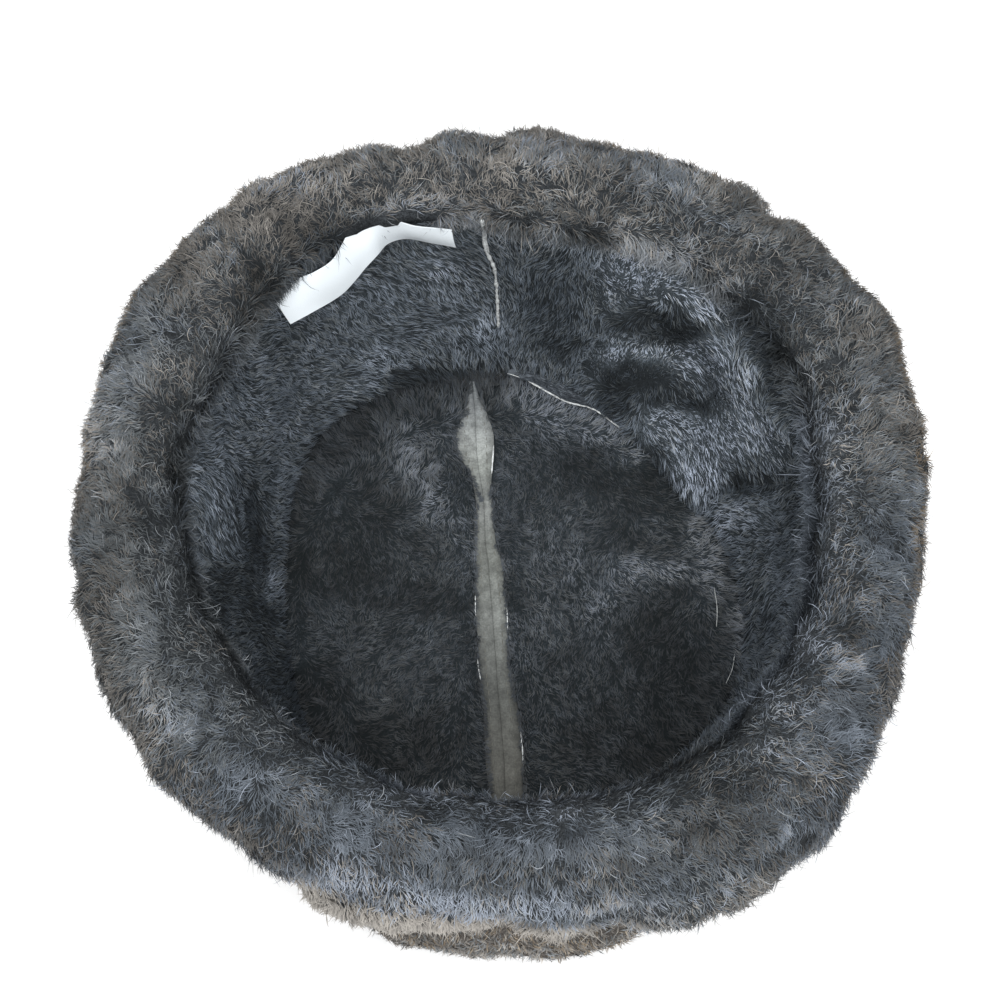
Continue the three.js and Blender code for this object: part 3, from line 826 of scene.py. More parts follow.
def wall_tone(places):
    # Painted sheen and shade from the patches, and painted shade darkening the pile towards the wall's
    # foot, in the groove with the crown
    tone = 0.42 + paler_at(places, WALL_SHEEN_AND_SHADE, -0.38, 0.42, 2.1)
    tone -= 0.3 * np.clip((0.025 - places[:, 2]) / 0.01, 0, 1)
    return tone + 0.1 * cloud(places, 0.008, 18) + 0.13 * cloud(places, 0.0032, 19)


def facing_in(places, facings):
    return (outward_of(places, facings) < -0.15) * 1.0


WALL_HAIRS = 75000
# Painted light: the wall's wool and pile are made much paler than the crown's of the same sheepskin, for
# the sheen and light on the wall
wall_wool = wool_finish("wall wool", srgb(42, 46, 49), srgb(98, 107, 114), 1500)
wall_hair = hair_finish("wall pile", 1.92, 0.4, 0.55, 0.35)
wall = skin("lining_band", "wall_wool", 0.0028, 4, 0.0004, [(0.012, 0.0006)])
tone_skin(wall, wall_tone)
fit_out(wall, wall_wool, "lining_fur", "lining_band")

draw = np.random.default_rng(21)
roots, outs = plant(wall, WALL_HAIRS, draw, facing_in)
count = len(roots)
which = tufts_of(roots, 0.003, 15)
turn = np.interp(bearing_of(roots), *zip(*WALL_BRUSH))
lay = DOWN * np.cos(turn)[:, None] - around_at(roots) * np.sin(turn)[:, None]
lay = flattened(brushed(roots, outs, lay, WALL_STROKES), outs)
turn = 0.7 * cloud(roots, 0.018, 13) + 0.5 * cloud(roots, 0.006, 14) + by_tuft(which, 0.18, draw)
turn += draw.normal(0, 0.2, count)
lay = turned(lay, outs, turn)
low = np.clip((0.026 - roots[:, 2]) / 0.008, 0, 1)
shape = {
    "length": 0.0041 * (0.7 + 0.6 * draw.random(count)) * (1 + 0.3 * low),
    "width": 0.00027,
    "lean": 1.18 - 0.2 * low + draw.normal(0, 0.12, count),
    "droop": 0.22,
    "curl": draw.normal(0, 0.4, count),
    "links": 2,
}
tone = wall_tone(roots) + by_tuft(which, 0.04, draw) + draw.normal(0, 0.08, count)
dice = draw.random(count) + 0.3 * cloud(roots, 0.02, 16)
# Painted sheen: the paler the hair, the more often it is blue, for the bluish gloss where it catches the
# light
tint = np.where(dice < 0.6 + 0.5 * np.clip(tone - 0.3, 0, 1), BLUE, GREY)
pile = grow("wall_pile", roots, outs, lay, shape, tone, tint, draw, which, 0.35)
fit_out(pile, wall_hair, "lining_fur")


# The outer shell
# Brown-grey sheepskin, pile outwards: a round crown, which the hat lies on, and a side wall that
# goes up under the cuff. Its pile is shorter than the cuff's.
SHELL = [
    {"node": "outer_crown", "wool": "shell_crown_wool", "pile": "shell_crown_pile", "hairs": 10000,
     "lowest": 0.0012, "highest": 0.0232, "seed": 31},
    {"node": "outer_band", "wool": "shell_wall_wool", "pile": "shell_wall_pile", "hairs": 32000,
     "lowest": 0.0225, "highest": 0.086, "seed": 32},
]

# Where the shell swells further out at its low front, and where it is paler and denser there, as they
# show in the picture: across, down, reach across, reach down, and millimetres or how much more
SHELL_SWELLS = [(395, 936, 44, 30, 4.6), (455, 950, 40, 24, 2)]
SHELL_PATCHES = [(490, 952, 150, 20, 0.05), (650, 926, 44, 14, 0.2)]
SHELL_DENSER = [(490, 952, 150, 20, 2.2)]


def shell_tone(places):
    tone = 0.5 + paler_at(places, SHELL_PATCHES, 0, 0.4)
    return tone + 0.12 * cloud(places, 0.01, 37) + 0.13 * cloud(places, 0.0036, 38)


def swell(piece, swells):
    """Lets a skin's outer side swell out where the rows of swells say."""
    places, outs = vectors_of(piece.data, "co"), vectors_of(piece.data, "normal")
    rise = bump_at(*seen_at(places), swells) * np.clip(outward_of(places, outs) / 0.3, 0, 1)
    move_skin(piece, places + outs * rise[:, None] * 0.001)


shell_wool = wool_finish("shell wool", srgb(58, 55, 52), srgb(112, 106, 101), 1300)
shell_hair = hair_finish("shell pile", 1.15, 0.5, 0.65, 0.25)
for part in SHELL:
    draw = np.random.default_rng(part["seed"])
    base = skin(part["node"], part["wool"], 0.0045, 7, -0.0006, [(0.012, 0.0008)])
    swell(base, SHELL_SWELLS)
    tone_skin(base, shell_tone)
    fit_out(base, shell_wool, "outer_fur", part["node"])

    def facing_out(places, facings):
        within = (places[:, 2] > part["lowest"]) * (places[:, 2] < part["highest"])
        denser = 1 + bump_at(*seen_at(places), SHELL_DENSER)
        return (outward_of(places, facings) > 0.15) * within * denser

    roots, outs = plant(base, part["hairs"], draw, facing_out)
    count = len(roots)
    which = tufts_of(roots, 0.0032, 35)
    turn = 0.9 * cloud(roots, 0.02, 33) + by_tuft(which, 0.7, draw) + draw.normal(0, 0.4, count)
    lay = around_at(roots) * np.sin(turn)[:, None] + DOWN * np.cos(turn)[:, None]
    shape = {
        "length": 0.0044 * (0.7 + 0.6 * draw.random(count)),
        "width": 0.00038,
        "lean": 1.1 + draw.normal(0, 0.2, count),
        "droop": 0.4,
        "curl": draw.normal(0, 1.1, count),
        "links": 2,
    }
    tone = shell_tone(roots) + by_tuft(which, 0.08, draw) + draw.normal(0, 0.08, count)
    dice = draw.random(count) + 0.3 * cloud(roots, 0.014, 39)
    tint = np.where(dice < 0.16, GOLD, np.where(dice > 0.8, GREY, BROWN))
    pile = grow(part["pile"], roots, outs, lay, shape, tone, tint, draw, which, 0.4)
    fit_out(pile, shell_hair, "outer_fur")


# The cuff
# A deep strip of long-haired sheepskin, sewn to the mouth and rolled outwards over it, so that its
# free edge hangs round the side wall. Its hair is tousled and curly, charcoal with paler tips.

# Painted sheen and shade on the cuff: patches painted paler where its pile catches the light and
# darker in its shaded creases, as they show in the picture: across, down, reach across, reach down,
# and how much paler
CUFF_SHEEN_AND_SHADE = [
    (500, 172, 260, 34, 0.12),
    (655, 252, 46, 20, 0.4),
    (622, 234, 12, 12, 0.26),
    (722, 284, 18, 18, 0.3),
    (580, 242, 30, 22, -0.06),
    (435, 212, 60, 13, 0.42),
    (545, 230, 40, 14, 0.08),
    (108, 435, 26, 60, 0.26),
    (758, 304, 13, 26, -0.34),
    (780, 370, 11, 44, -0.3),
    (255, 272, 12, 26, -0.26),
    (310, 232, 30, 20, -0.1),
    (228, 362, 20, 16, -0.14),
    (183, 425, 18, 40, 0.04),
    (172, 500, 14, 44, -0.02),
    (188, 680, 26, 24, -0.16),
    (234, 650, 16, 34, 0.06),
    (834, 500, 15, 110, 0.24),
    (822, 375, 18, 30, 0.14),
    (135, 520, 30, 50, -0.12),
    (640, 185, 44, 24, -0.1),
    (850, 340, 26, 44, -0.1),
    (850, 640, 24, 50, -0.16),
    (800, 270, 24, 24, -0.1),
    (250, 790, 50, 26, 0.04),
    (320, 794, 36, 14, -0.1),
    (470, 790, 120, 14, 0.26),
    (330, 765, 50, 12, 0.04),
    (340, 866, 44, 12, 0.18),
    (350, 884, 60, 14, 0.2),
    (450, 899, 60, 13, 0.3),
    (550, 903, 60, 12, 0.26),
    (640, 897, 44, 12, 0.16),
    (845, 255, 16, 14, -0.1),
    (812, 648, 24, 11, 0.26),
    (846, 662, 20, 10, 0.24),
    (782, 708, 22, 15, 0.26),
    (764, 750, 14, 9, 0.2),
    (700, 778, 50, 14, -0.12),
    (568, 812, 26, 10, 0.32),
    (420, 804, 34, 10, 0.1),
    (470, 868, 26, 10, -0.12),
    (618, 856, 28, 11, -0.18),
    (670, 846, 26, 11, -0.2),
    (520, 892, 30, 8, 0.14),
    (650, 915, 40, 12, 0.2),
    (165, 715, 34, 26, 0.16),
    (250, 235, 60, 50, 0.1),
    (300, 190, 60, 20, 0.1),
    (400, 882, 70, 16, 0.14),
    (700, 890, 50, 16, 0.16),
    (720, 830, 60, 40, -0.1),
    (760, 850, 50, 26, 0.04),
    (762, 798, 34, 28, -0.08),
]
# The soft beige hair along the cuff's low front edge, also painted paler for the light that it gets
# from the pale table below
CUFF_BEIGE = [
    (296, 893, 34, 18, 0.9),
    (346, 916, 42, 18, 1),
    (420, 924, 44, 17, 1),
    (490, 930, 46, 15, 1),
    (560, 934, 46, 12, 1),
    (620, 930, 36, 9, 0.7),
]
# Where its hair keeps one way, where it is browner and where it is bluer, in the same columns
CUFF_STEADY = [(500, 870, 330, 70, 0.6)]
CUFF_BROWNER = [(265, 205, 90, 60, 0.3)]
CUFF_BLUER = [(380, 830, 360, 110, 0.5), (830, 640, 100, 200, 0.5)]
CUFF_STROKES = [
    (220, 780, 60, -52),
    (320, 830, 60, -58),
    (430, 860, 60, -60),
    (540, 865, 60, -54),
    (640, 855, 56, -44),
    (740, 820, 56, -36),
    (500, 915, 110, -84),
    (660, 255, 40, 24),
    (600, 175, 60, 76),
    (400, 175, 70, 82),
    (660, 180, 50, 60),
]
# The pelt in stretches, told apart by how far its skin faces outwards: the short dense hair in three
# of them, and long thin curls over all of it
DENSE = {"length": 0.0044, "width": 0.00027, "curl": 0.8, "paler": 0, "links": 2}
WIDER = {**DENSE, "width": 0.0003}
CURLS = {"length": 0.0064, "width": 0.0002, "curl": 1.9, "paler": 0.28, "links": 4}
CUFF_STRETCHES = [
    {**DENSE, "name": "cuff_pile_inner", "from": -1.1, "to": -0.18, "hairs": 54000, "seed": 41},
    {**DENSE, "name": "cuff_pile_top", "from": -0.18, "to": 0.55, "hairs": 88000, "seed": 42},
    {**WIDER, "name": "cuff_pile_outer", "from": 0.55, "to": 1.1, "hairs": 74000, "seed": 43},
    {**CURLS, "name": "cuff_curls", "from": -1.1, "to": 1.1, "hairs": 8000, "seed": 44},
]


def beige_at(places):
    return np.clip(1.6 * bump_at(*seen_at(places), CUFF_BEIGE) - 0.3, 0, 1)


def cuff_tone(places):
    # Painted sheen and shade from the patches; the beige edge is painted paler too
    tone = 0.4 + paler_at(places, CUFF_SHEEN_AND_SHADE, -0.3, 0.5) + 0.6 * beige_at(places)
    return tone + 0.13 * cloud(places, 0.012, 48) + 0.15 * cloud(places, 0.004, 49)


def hanging(places):
    """How far a place is on the edge that hangs low at the front."""
    at_front = np.exp(-(((bearing_of(places) - 268) / 56) ** 4))
    return at_front * np.clip((0.093 - places[:, 2]) / 0.01, 0, 1)


def over_crease(places, facings):
    """How far a place is on the cuff's inner lip, whose pile hangs over the crease with the wall."""
    bearing = bearing_of(places)
    open_side = 1 - 0.85 * np.exp(-(((bearing - 268) / 68) ** 4))
    inner = np.clip(-outward_of(places, facings) / 0.3, 0, 1)
    return open_side * inner * np.clip((0.121 - places[:, 2]) / 0.008, 0, 1)


# Where the pelt swells further out than the turned-up skin alone: place in the picture and
# millimetres
CUFF_SWELLS = [
    (872, 325, 30, 34, 3.8),
    (822, 254, 30, 30, 4),
    (752, 190, 34, 24, 3.2),
    (297, 189, 50, 34, 3),
    (207, 247, 44, 44, 3),
    (148, 305, 40, 40, 2.4),
    (100, 690, 36, 60, 2.2),
    (160, 780, 40, 40, 2.6),
    (212, 838, 34, 34, 3),
    (268, 876, 36, 36, 4.2),
    (292, 892, 24, 24, 4.6),
    (332, 906, 40, 32, 9.8),
    (392, 928, 40, 34, 11.5),
    (462, 938, 44, 30, 9.4),
    (785, 238, 18, 18, 3.4),
    (848, 312, 18, 18, 2),
    (675, 150, 18, 18, -3),
    (498, 132, 26, 20, -2.2),
    (412, 142, 22, 18, -3),
    (250, 196, 16, 16, 3),
    (95, 400, 24, 30, -1.5),
    (84, 622, 18, 22, 2.2),
    (536, 930, 50, 22, 6),
    (600, 926, 46, 24, 6),
    (672, 902, 46, 30, 6),
    (735, 878, 44, 34, 6.4),
    (800, 826, 44, 40, 4.2),
]
cuff_wool = wool_finish("cuff wool", srgb(30, 33, 35), srgb(74, 78, 82), 1400)
cuff_hair = hair_finish("cuff pile", 0.9, 0.38, 0.6, 0.3)
cuff = skin("cuff", "cuff_wool", 0.0034, 4, 0.0009, [(0.014, 0.0017), (0.007, 0.0006)])
swell(cuff, CUFF_SWELLS)
tone_skin(cuff, cuff_tone)
fit_out(cuff, cuff_wool, "cuff_fur", "cuff")
for stretch in CUFF_STRETCHES:
    draw = np.random.default_rng(stretch["seed"])

    def on_stretch(places, facings):
        outward = outward_of(places, facings)
        open_air = (places[:, 2] > 0.1055) + (outward > 0.1) * (places[:, 2] > 0.0775)
        within = (outward > stretch["from"]) * (outward <= stretch["to"])
        by_label = np.abs(bearing_of(places) - 112) < 10
        label_lies = by_label * (outward < 0) * (places[:, 2] < 0.1165)
        denser = 1 + 2 * over_crease(places, facings) + 1.6 * beige_at(places)
        return (open_air > 0) * within * (label_lies == 0) * denser

    roots, outs = plant(cuff, stretch["hairs"], draw, on_stretch)
    count = len(roots)
    which = tufts_of(roots, 0.003, 45)
    outward = outward_of(roots, outs)
    low = hanging(roots)
    comb = brushed(roots, outs, np.cross(around_at(roots), outs), CUFF_STROKES)
    lapping = over_crease(roots, outs)
    comb = flattened(unit(unit(comb) + DOWN * (3 * low + 1.5 * lapping)[:, None]), outs)
    steady = bump_at(*seen_at(roots), CUFF_STEADY)
    turn = 1.4 * cloud(roots, 0.014, 43) + 0.9 * cloud(roots, 0.005, 44)
    turn = (turn + by_tuft(which, 0.55, draw)) * (1 - steady) + draw.normal(0, 0.5, count)
    lay = turned(comb, outs, turn * (1 - 0.6 * low))
    shape = {
        "length": stretch["length"] * (0.6 + 0.7 * draw.random(count)) * (1 + 0.4 * low + 0.6 * lapping),
        "width": stretch["width"] * (0.8 + 0.3 * draw.random(count)) * (1 + 0.5 * beige_at(roots)),
        "lean": 1.02 - 0.25 * lapping + 0.2 * cloud(roots, 0.008, 46) + draw.normal(0, 0.2, count),
        "droop": 0.4 + draw.normal(0, 0.2, count),
        "curl": draw.normal(0, stretch["curl"], count),
        "links": stretch["links"],
    }
    tone = cuff_tone(roots) + by_tuft(which, 0.08, draw) + draw.normal(0, 0.07, count)
    tone += stretch["paler"]
    to_back = np.exp(-(((bearing_of(roots) - 90) / 75) ** 2))
    brown = 0.22 + 0.36 * to_back + 0.4 * np.clip(outward - 0.3, 0, 1) * (1 - steady)
    brown += 0.6 * beige_at(roots) - 0.45 * lapping + bump_at(*seen_at(roots), CUFF_BROWNER)
    dice = 0.2 + 0.6 * draw.random(count) + 0.3 * cloud(roots, 0.014, 50)
    blue = 0.22 + bump_at(*seen_at(roots), CUFF_BLUER) + 0.2 * lapping
    tint = np.where(dice < brown, BROWN, np.where(dice > 1 - blue, BLUE, GREY))
    # Painted backlit glow: gold tints on the hairs along the far outer rim, where light shines through
    # them
    away = np.clip(1.6 * np.cos(np.radians(bearing_of(roots) - 80)) + 0.9, 0, 1)
    backlit_fringe = (outward > 0.72) * (roots[:, 2] > 0.1) * away > draw.random(count) + 0.35
    tint = np.where(backlit_fringe, GOLD, tint)
    pile = grow(stretch["name"], roots, outs, lay, shape, tone, tint, draw, which, 0.33)
    fit_out(pile, cuff_hair, "cuff_fur")


# The leather seam allowances
# Where the crown's halves are sewn, their margins lie open: undyed skin side, pale grey at the back
# and browner at the front, topstitched down the middle of each, with raw cut edges.
hide, hide_in, hide_out = new_group(
    "undyed hide",
    [("Map", "Vector"), ("Place", "Vector"), ("Brightness", "Float")],
    [("Color", "Color"), ("Height", "Float")],
)
hide_split = hide.nodes.new("ShaderNodeSeparateXYZ")
from_front = ramp(hide, [
    (0.0, srgb(62, 63, 60)),
    (0.1, srgb(94, 94, 89)),
    (0.27, srgb(83, 85, 82)),
    (0.44, srgb(118, 121, 118)),
    (0.57, srgb(106, 109, 105)),
    (0.63, srgb(106, 109, 106)),
    (0.68, srgb(122, 125, 123)),
    (0.73, srgb(102, 105, 103)),
    (0.79, srgb(140, 144, 140)),
    (0.85, srgb(150, 154, 152)),
    (0.93, srgb(124, 128, 129)),
    (1.0, srgb(104, 109, 112)),
])
# Painted shade across each allowance: much darker towards its outer edge, under the pile that lies over
# it; also a little darker at the seam's middle line
across_shade = ramp(hide, [(0.0, 0.84), (0.08, 0.96), (0.45, 1.04), (0.66, 0.84), (1.0, 0.55)])
grain = add_node(hide, "ShaderNodeTexNoise", Scale=1400.0, Detail=3.0, Roughness=0.6)
grain_shade = ramp(hide, [(0.3, 0.7), (0.7, 1.12)])
stain = add_node(hide, "ShaderNodeTexNoise", Scale=290.0, Detail=4.0, Roughness=0.7)
stain_shade = ramp(hide, [(0.36, 0.66), (0.62, 1.12)])
worn, edge_shaded, lit = (add_operation(hide, "ShaderNodeMath", "MULTIPLY") for _ in range(3))
hide_scale = add_operation(hide, "ShaderNodeVectorMath", "SCALE")
wire(
    hide,
    (hide_in, "Map", hide_split, "Vector"),
    (hide_split, "X", across_shade, "Fac"),
    (hide_split, "Y", from_front, "Fac"),
    (hide_in, "Place", grain, "Vector"),
    (hide_in, "Place", stain, "Vector"),
    (grain, "Fac", grain_shade, "Fac"),
    (stain, "Fac", stain_shade, "Fac"),
    (grain_shade, "Color", worn, 0),
    (stain_shade, "Color", worn, 1),
    (worn, 0, edge_shaded, 0),
    (across_shade, "Color", edge_shaded, 1),
    (edge_shaded, 0, lit, 0),
    (hide_in, "Brightness", lit, 1),
    (from_front, "Color", hide_scale, 0),
    (lit, 0, hide_scale, "Scale"),
    (hide_scale, 0, hide_out, "Color"),
    (grain, "Fac", hide_out, "Height"),
)


def hide_finish(name, brightness):
    finish, tree, shader = new_finish(name, 0.75, 0.3)
    place = tree.nodes.new("ShaderNodeTexCoord")
    skin_side = add_node(tree, "ShaderNodeGroup", hide, Brightness=brightness)
    wire(tree, (own_map(tree), "UV", skin_side, "Map"), (place, "Object", skin_side, "Place"))
    surface(tree, shader, (skin_side, "Color"), (skin_side, "Height"), 0.5, 0.0002)
    return finish


def plate(name, over, under):
    """A closed plate from two grids of places, its upper and under side, with a map over both."""
    rows, columns = over.shape[:2]
    places = np.concatenate([over.reshape(-1, 3), under.reshape(-1, 3)])
    lower = rows * columns
    faces = []
    for i in range(rows - 1):
        for j in range(columns - 1):
            a = i * columns + j
            ring = (a, a + 1, a + columns + 1, a + columns)
            faces.append(ring)
            faces.append(tuple(lower + k for k in reversed(ring)))
    rim = list(range(columns))
    rim += [i * columns + columns - 1 for i in range(1, rows)]
    rim += [(rows - 1) * columns + j for j in range(columns - 2, -1, -1)]
    rim += [i * columns for i in range(rows - 2, 0, -1)]
    for here, after in zip(rim, rim[1:] + rim[:1]):
        faces.append((after, here, lower + here, lower + after))
    mesh = bpy.data.meshes.new(name)
    mesh.from_pydata([tuple(place) for place in places], [], faces)
    chart = mesh.uv_layers.new(name="OFBake")
    for loop in mesh.loops:
        i, j = divmod(loop.vertex_index % lower, columns)
        chart.data[loop.index].uv = (j / (columns - 1), i / (rows - 1))
    piece = link_new(name, mesh)
    edit_all(piece, bpy.ops.mesh.normals_make_consistent, inside=False)
    bpy.ops.object.shade_smooth_by_angle(angle=math.radians(50))
    return piece


# The angles of a tube's corners, as cosines and sines
CORNERS = [(math.cos(turn * math.pi / 3), math.sin(turn * math.pi / 3)) for turn in range(6)]


def tubes(name, strands):
    """Closed tubes as one piece, each a strand of rings of corners."""
    sides = len(CORNERS)
    verts = []
    faces = []
    for rings in strands:
        first = len(verts)
        verts += [tuple(corner) for ring in rings for corner in ring]
        last = len(verts) - sides
        faces += [tuple(range(first, first + sides)), tuple(range(last + sides - 1, last - 1, -1))]
        for ring in range(first, last, sides):
            for corner in range(sides):
                here = ring + corner
                after = ring + (corner + 1) % sides
                faces.append((here, here + sides, after + sides, after))
    mesh = bpy.data.meshes.new(name)
    mesh.from_pydata(verts, [], faces)
    return link_new(name, mesh)


# The allowances' top and thickness in metres; in mm, their ends, their least width, which tapers
# towards the ends, the rise of the fold across them, and the stitches' spacing, the width that they
# need, and their rings as steps along and radii
SEAM_TOP = 0.0149
LEATHER = 0.0011
ALLOWANCE_ENDS = (-84, 87)
ALLOWANCE_ROWS = 115
LEAST_WIDTH = 2.6
FOLD_RISE = [-0.2, 0.06, 0.12, 0.12, 0.08, 0, -0.2]
HIDE_BRIGHTNESS = {"left": 0.94, "right": 1.04}
STITCH_SPACING = 3.1
STITCH_ROOM = 3.4
STITCH_RINGS = [(-1, 0.06), (-0.6, 0.15), (0, 0.17), (0.6, 0.15), (1, 0.06)]

rows_y = np.linspace(*ALLOWANCE_ENDS, ALLOWANCE_ROWS)
middle = np.interp(rows_y, SEAM_Y, SEAM_MIDDLE)
thread, _, thread_shader = new_finish("sewing thread", 0.8, 0.2)
thread_shader.inputs["Base Color"].default_value = srgb(98, 98, 92)
for crown in CROWN_HALVES:
    half, side = crown["half"], crown["side"]
    along = np.stack([rows_y * 0.001, rows_y * 0, rows_y * 0], 1)
    width = np.interp(rows_y, SEAM_Y, crown["allowance"]) + 0.25 * cloud(along, 0.006, 71 + side)
    least = LEAST_WIDTH * np.clip((88 - np.abs(rows_y)) / 14, 0.25, 1)
    width = np.maximum(width, least) + SEAM_CLEAR
    shares = np.linspace(0, 1, len(FOLD_RISE))
    x = middle[:, None] + side * (0.04 + shares[None, :] * width[:, None])
    y = np.repeat(rows_y[:, None], len(FOLD_RISE), 1)
    over = np.stack([x, y, np.zeros_like(x)], 2) * 0.001
    flat_places = over.reshape(-1, 3)
    rise = 0.0002 * cloud(flat_places, 0.009, 77) + 0.0001 * cloud(flat_places, 0.003, 78)
    over[:, :, 2] = SEAM_TOP + rise.reshape(x.shape) + np.array(FOLD_RISE) * 0.001
    strip = plate(f"seam_allowance_{half}", over, over - np.array([0, 0, LEATHER]))
    hide_here = hide_finish(f"hide {half}", HIDE_BRIGHTNESS[half])
    fit_out(strip, hide_here, "leather", f"crown_seam_{half}")

    # Topstitching down the middle of the allowance: stitches sunk a little into the hide
    stitches = []
    for stitch_y in np.arange(-80, 80, STITCH_SPACING):
        lies = np.interp(stitch_y, rows_y, width)
        if lies < STITCH_ROOM:
            continue
        stitch_x = np.interp(stitch_y, SEAM_Y, SEAM_MIDDLE) + side * (0.2 + 0.56 * lies)
        stitch = []
        for step, size in STITCH_RINGS:
            level = SEAM_TOP * 1000 + 0.1 - 0.08 * abs(step)
            stitch.append([
                ((stitch_x + size * a) * 0.001, (stitch_y + step) * 0.001, (level + size * b) * 0.001)
                for a, b in CORNERS
            ])
        stitches.append(stitch)
    fit_out(tubes(f"seam_stitches_{half}", stitches), thread, "leather")


# Raw cut edges
# The hide's cut edges show white and fibrous: along the crown's seam, round the back right of the
# crown, on slivers at its right edge and down the back seam of the lining's wall.
raw_hide, raw_tree, raw_shader = new_finish("raw hide", 0.8, 0.3)
raw_place = raw_tree.nodes.new("ShaderNodeTexCoord")
raw_noise = add_node(raw_tree, "ShaderNodeTexNoise", Scale=900.0, Detail=3.0, Roughness=0.6)
raw_colour = ramp(raw_tree, [(0.35, srgb(150, 153, 154)), (0.62, srgb(216, 220, 220))])
wire(raw_tree, (raw_place, "Object", raw_noise, "Vector"), (raw_noise, "Fac", raw_colour, "Fac"))
surface(raw_tree, raw_shader, (raw_colour, "Color"), (raw_noise, "Fac"), 0.6, 0.0003)


def smooth_line(points, count):
    """Places evenly spaced on a smooth line through the points."""
    points = np.array(points, float)
    ends = np.concatenate([[2 * points[0] - points[1]], points, [2 * points[-1] - points[-2]]])
    fine = []
    for k in range(len(points) - 1):
        a, b, c, d = ends[k : k + 4]
        for t in np.linspace(0, 1, 16, endpoint=False):
            fine.append(
                0.5 * (2 * b + (c - a) * t + (2 * a - 5 * b + 4 * c - d) * t * t
                       + (3 * b - a - 3 * c + d) * t**3)
            )
    fine.append(points[-1])
    fine = np.array(fine)
    walked = np.concatenate([[0], np.cumsum(np.linalg.norm(np.diff(fine, axis=0), axis=1))])
    steps = np.linspace(0, walked[-1], count)
    return np.stack([np.interp(steps, walked, fine[:, k]) for k in range(fine.shape[1])], 1)


RAW_STEP = 0.0007
TOWARDS_EYE = np.array([[0.0, -0.42, 0.91]])


def raw_edge(name, points, width, *nodes, seed=1):
    """A fibrous pale cord along a line of points in mm: thin, uneven, tapering at both ends."""
    points = np.array(points, float) * 0.001
    length = np.linalg.norm(np.diff(points, axis=0), axis=1).sum()
    count = max(int(length / RAW_STEP), 6)
    line = smooth_line(points, count)
    line += 0.00012 * np.stack([cloud(line, 0.003, seed + k) for k in range(3)], 1)
    along = unit(np.gradient(line, axis=0))
    side = unit(np.cross(along, TOWARDS_EYE))
    lift = np.cross(side, along)
    ends = np.minimum(np.arange(count), np.arange(count)[::-1]) / 3
    radius = width * 0.0005 * np.clip(ends + 0.25, 0, 1)
    radius = radius * (1 + 0.45 * cloud(line, 0.0012, seed + 5))
    strand = [
        [line[k] + radius[k] * (side[k] * a + 0.7 * lift[k] * b) for a, b in CORNERS]
        for k in range(count)
    ]
    piece = tubes(name, [strand])
    edit_all(piece, bpy.ops.mesh.normals_make_consistent, inside=False)
    bpy.ops.object.shade_smooth()
    fit_out(piece, raw_hide, "raw_edge", *nodes)


def along_seam(first, last, widths, side, count=8):
    """Points along one edge of the seam allowances, in mm, between two places along them."""
    y = np.linspace(first, last, count)
    x = np.interp(y, SEAM_Y, SEAM_MIDDLE) + side * (np.interp(y, SEAM_Y, widths) + 0.25)
    return np.stack([x, y, np.full(count, SEAM_LEVEL - 0.1)], 1)


# Stretches where the allowances' cut edges show: from, to, widths of the allowance, side and width
SEAM_EDGES = [
    ("right_a", 60, 48, SEAM_RIGHT, 1, 0.55),
    ("right_b", -5, -14, SEAM_RIGHT, 1, 0.45),
    ("right_c", -50, -62, SEAM_RIGHT, 1, 0.4),
    ("left_a", 0, -8, SEAM_LEFT, -1, 0.45),
    ("left_b", -24, -32, SEAM_LEFT, -1, 0.35),
]
for where, first, last, widths, side, width in SEAM_EDGES:
    raw_edge(f"seam_raw_{where}", along_seam(first, last, widths, side), width, seed=len(where))

# Slivers of the crown's cut edge that show through the pile at its right, in mm
RIGHT_SLIVERS = [
    [(76.4, 2, 17.2), (77, -6, 17.3), (76.4, -13, 17.2)],
    [(82.4, -23, 16.8), (81, -29, 17), (78.6, -34, 16.9)],
]
for order, sliver in enumerate(RIGHT_SLIVERS):
    raw_edge(f"crown_edge_sliver_{order}", sliver, 0.22, seed=41 + order)

# The back seam of the lining's wall from the crease down: level in mm and bearing. Its edge stands out
# of the wall, the more so over the wall's round top.
BACK_SEAM = [(116.5, 93.8), (112, 93.6), (107, 93.3), (100, 93.2), (92, 92.6), (86, 91.6), (78, 91),
             (66, 90.7), (54, 90.5), (44, 90.4)]
WALL_TOP = 104
SEAM_PROUD = 1.6
back_line = []
for level, bearing in BACK_SEAM:
    way = np.array([math.cos(math.radians(bearing)), math.sin(math.radians(bearing)), 0])
    _, place, _, _ = wall.ray_cast((0, 0, min(level, WALL_TOP) * 0.001), tuple(way))
    reach = math.hypot(place[0], place[1]) * 1000 - SEAM_PROUD - 0.2 * max(level - WALL_TOP, 0)
    back_line.append([way[0] * reach, way[1] * reach, level])
back_line = np.array(back_line)
raw_edge("back_seam_raw", back_line, 1.25, "back_seam_edge", seed=21)
raw_edge("back_seam_fibre", back_line[:5] + np.array([0.7, -0.1, 0.2]), 0.5, seed=24)

# The strip of hide that shows between wall and crown at the back right: dark, streaked along its
# length, with a thin pale cut edge. Rows of its outer and inner side: x, y, x, y and level
EDGE_STRIP = [
    (3.6, 90.6, 2.6, 89.4, 15.4),
    (9, 91.6, 7.6, 87.4, 15.8),
    (15, 90.4, 14.4, 83.6, 16),
    (21, 86.4, 20.2, 79.6, 16.2),
    (26, 81.6, 25.4, 76.6, 16.3),
    (31, 78.4, 30.4, 75.2, 16.3),
    (36, 76, 35.4, 73.6, 16.2),
    (41, 71.4, 40.2, 69.8, 16),
    (46.4, 66.2, 45.6, 65.2, 15.8),
]
STRIP_STEPS = (60, 6)
strip_rows = smooth_line(EDGE_STRIP, STRIP_STEPS[0])
shares = np.linspace(0, 1, STRIP_STEPS[1])
outer_side = strip_rows[:, None, [0, 1, 4]] + np.array([0, 0, 2.2])
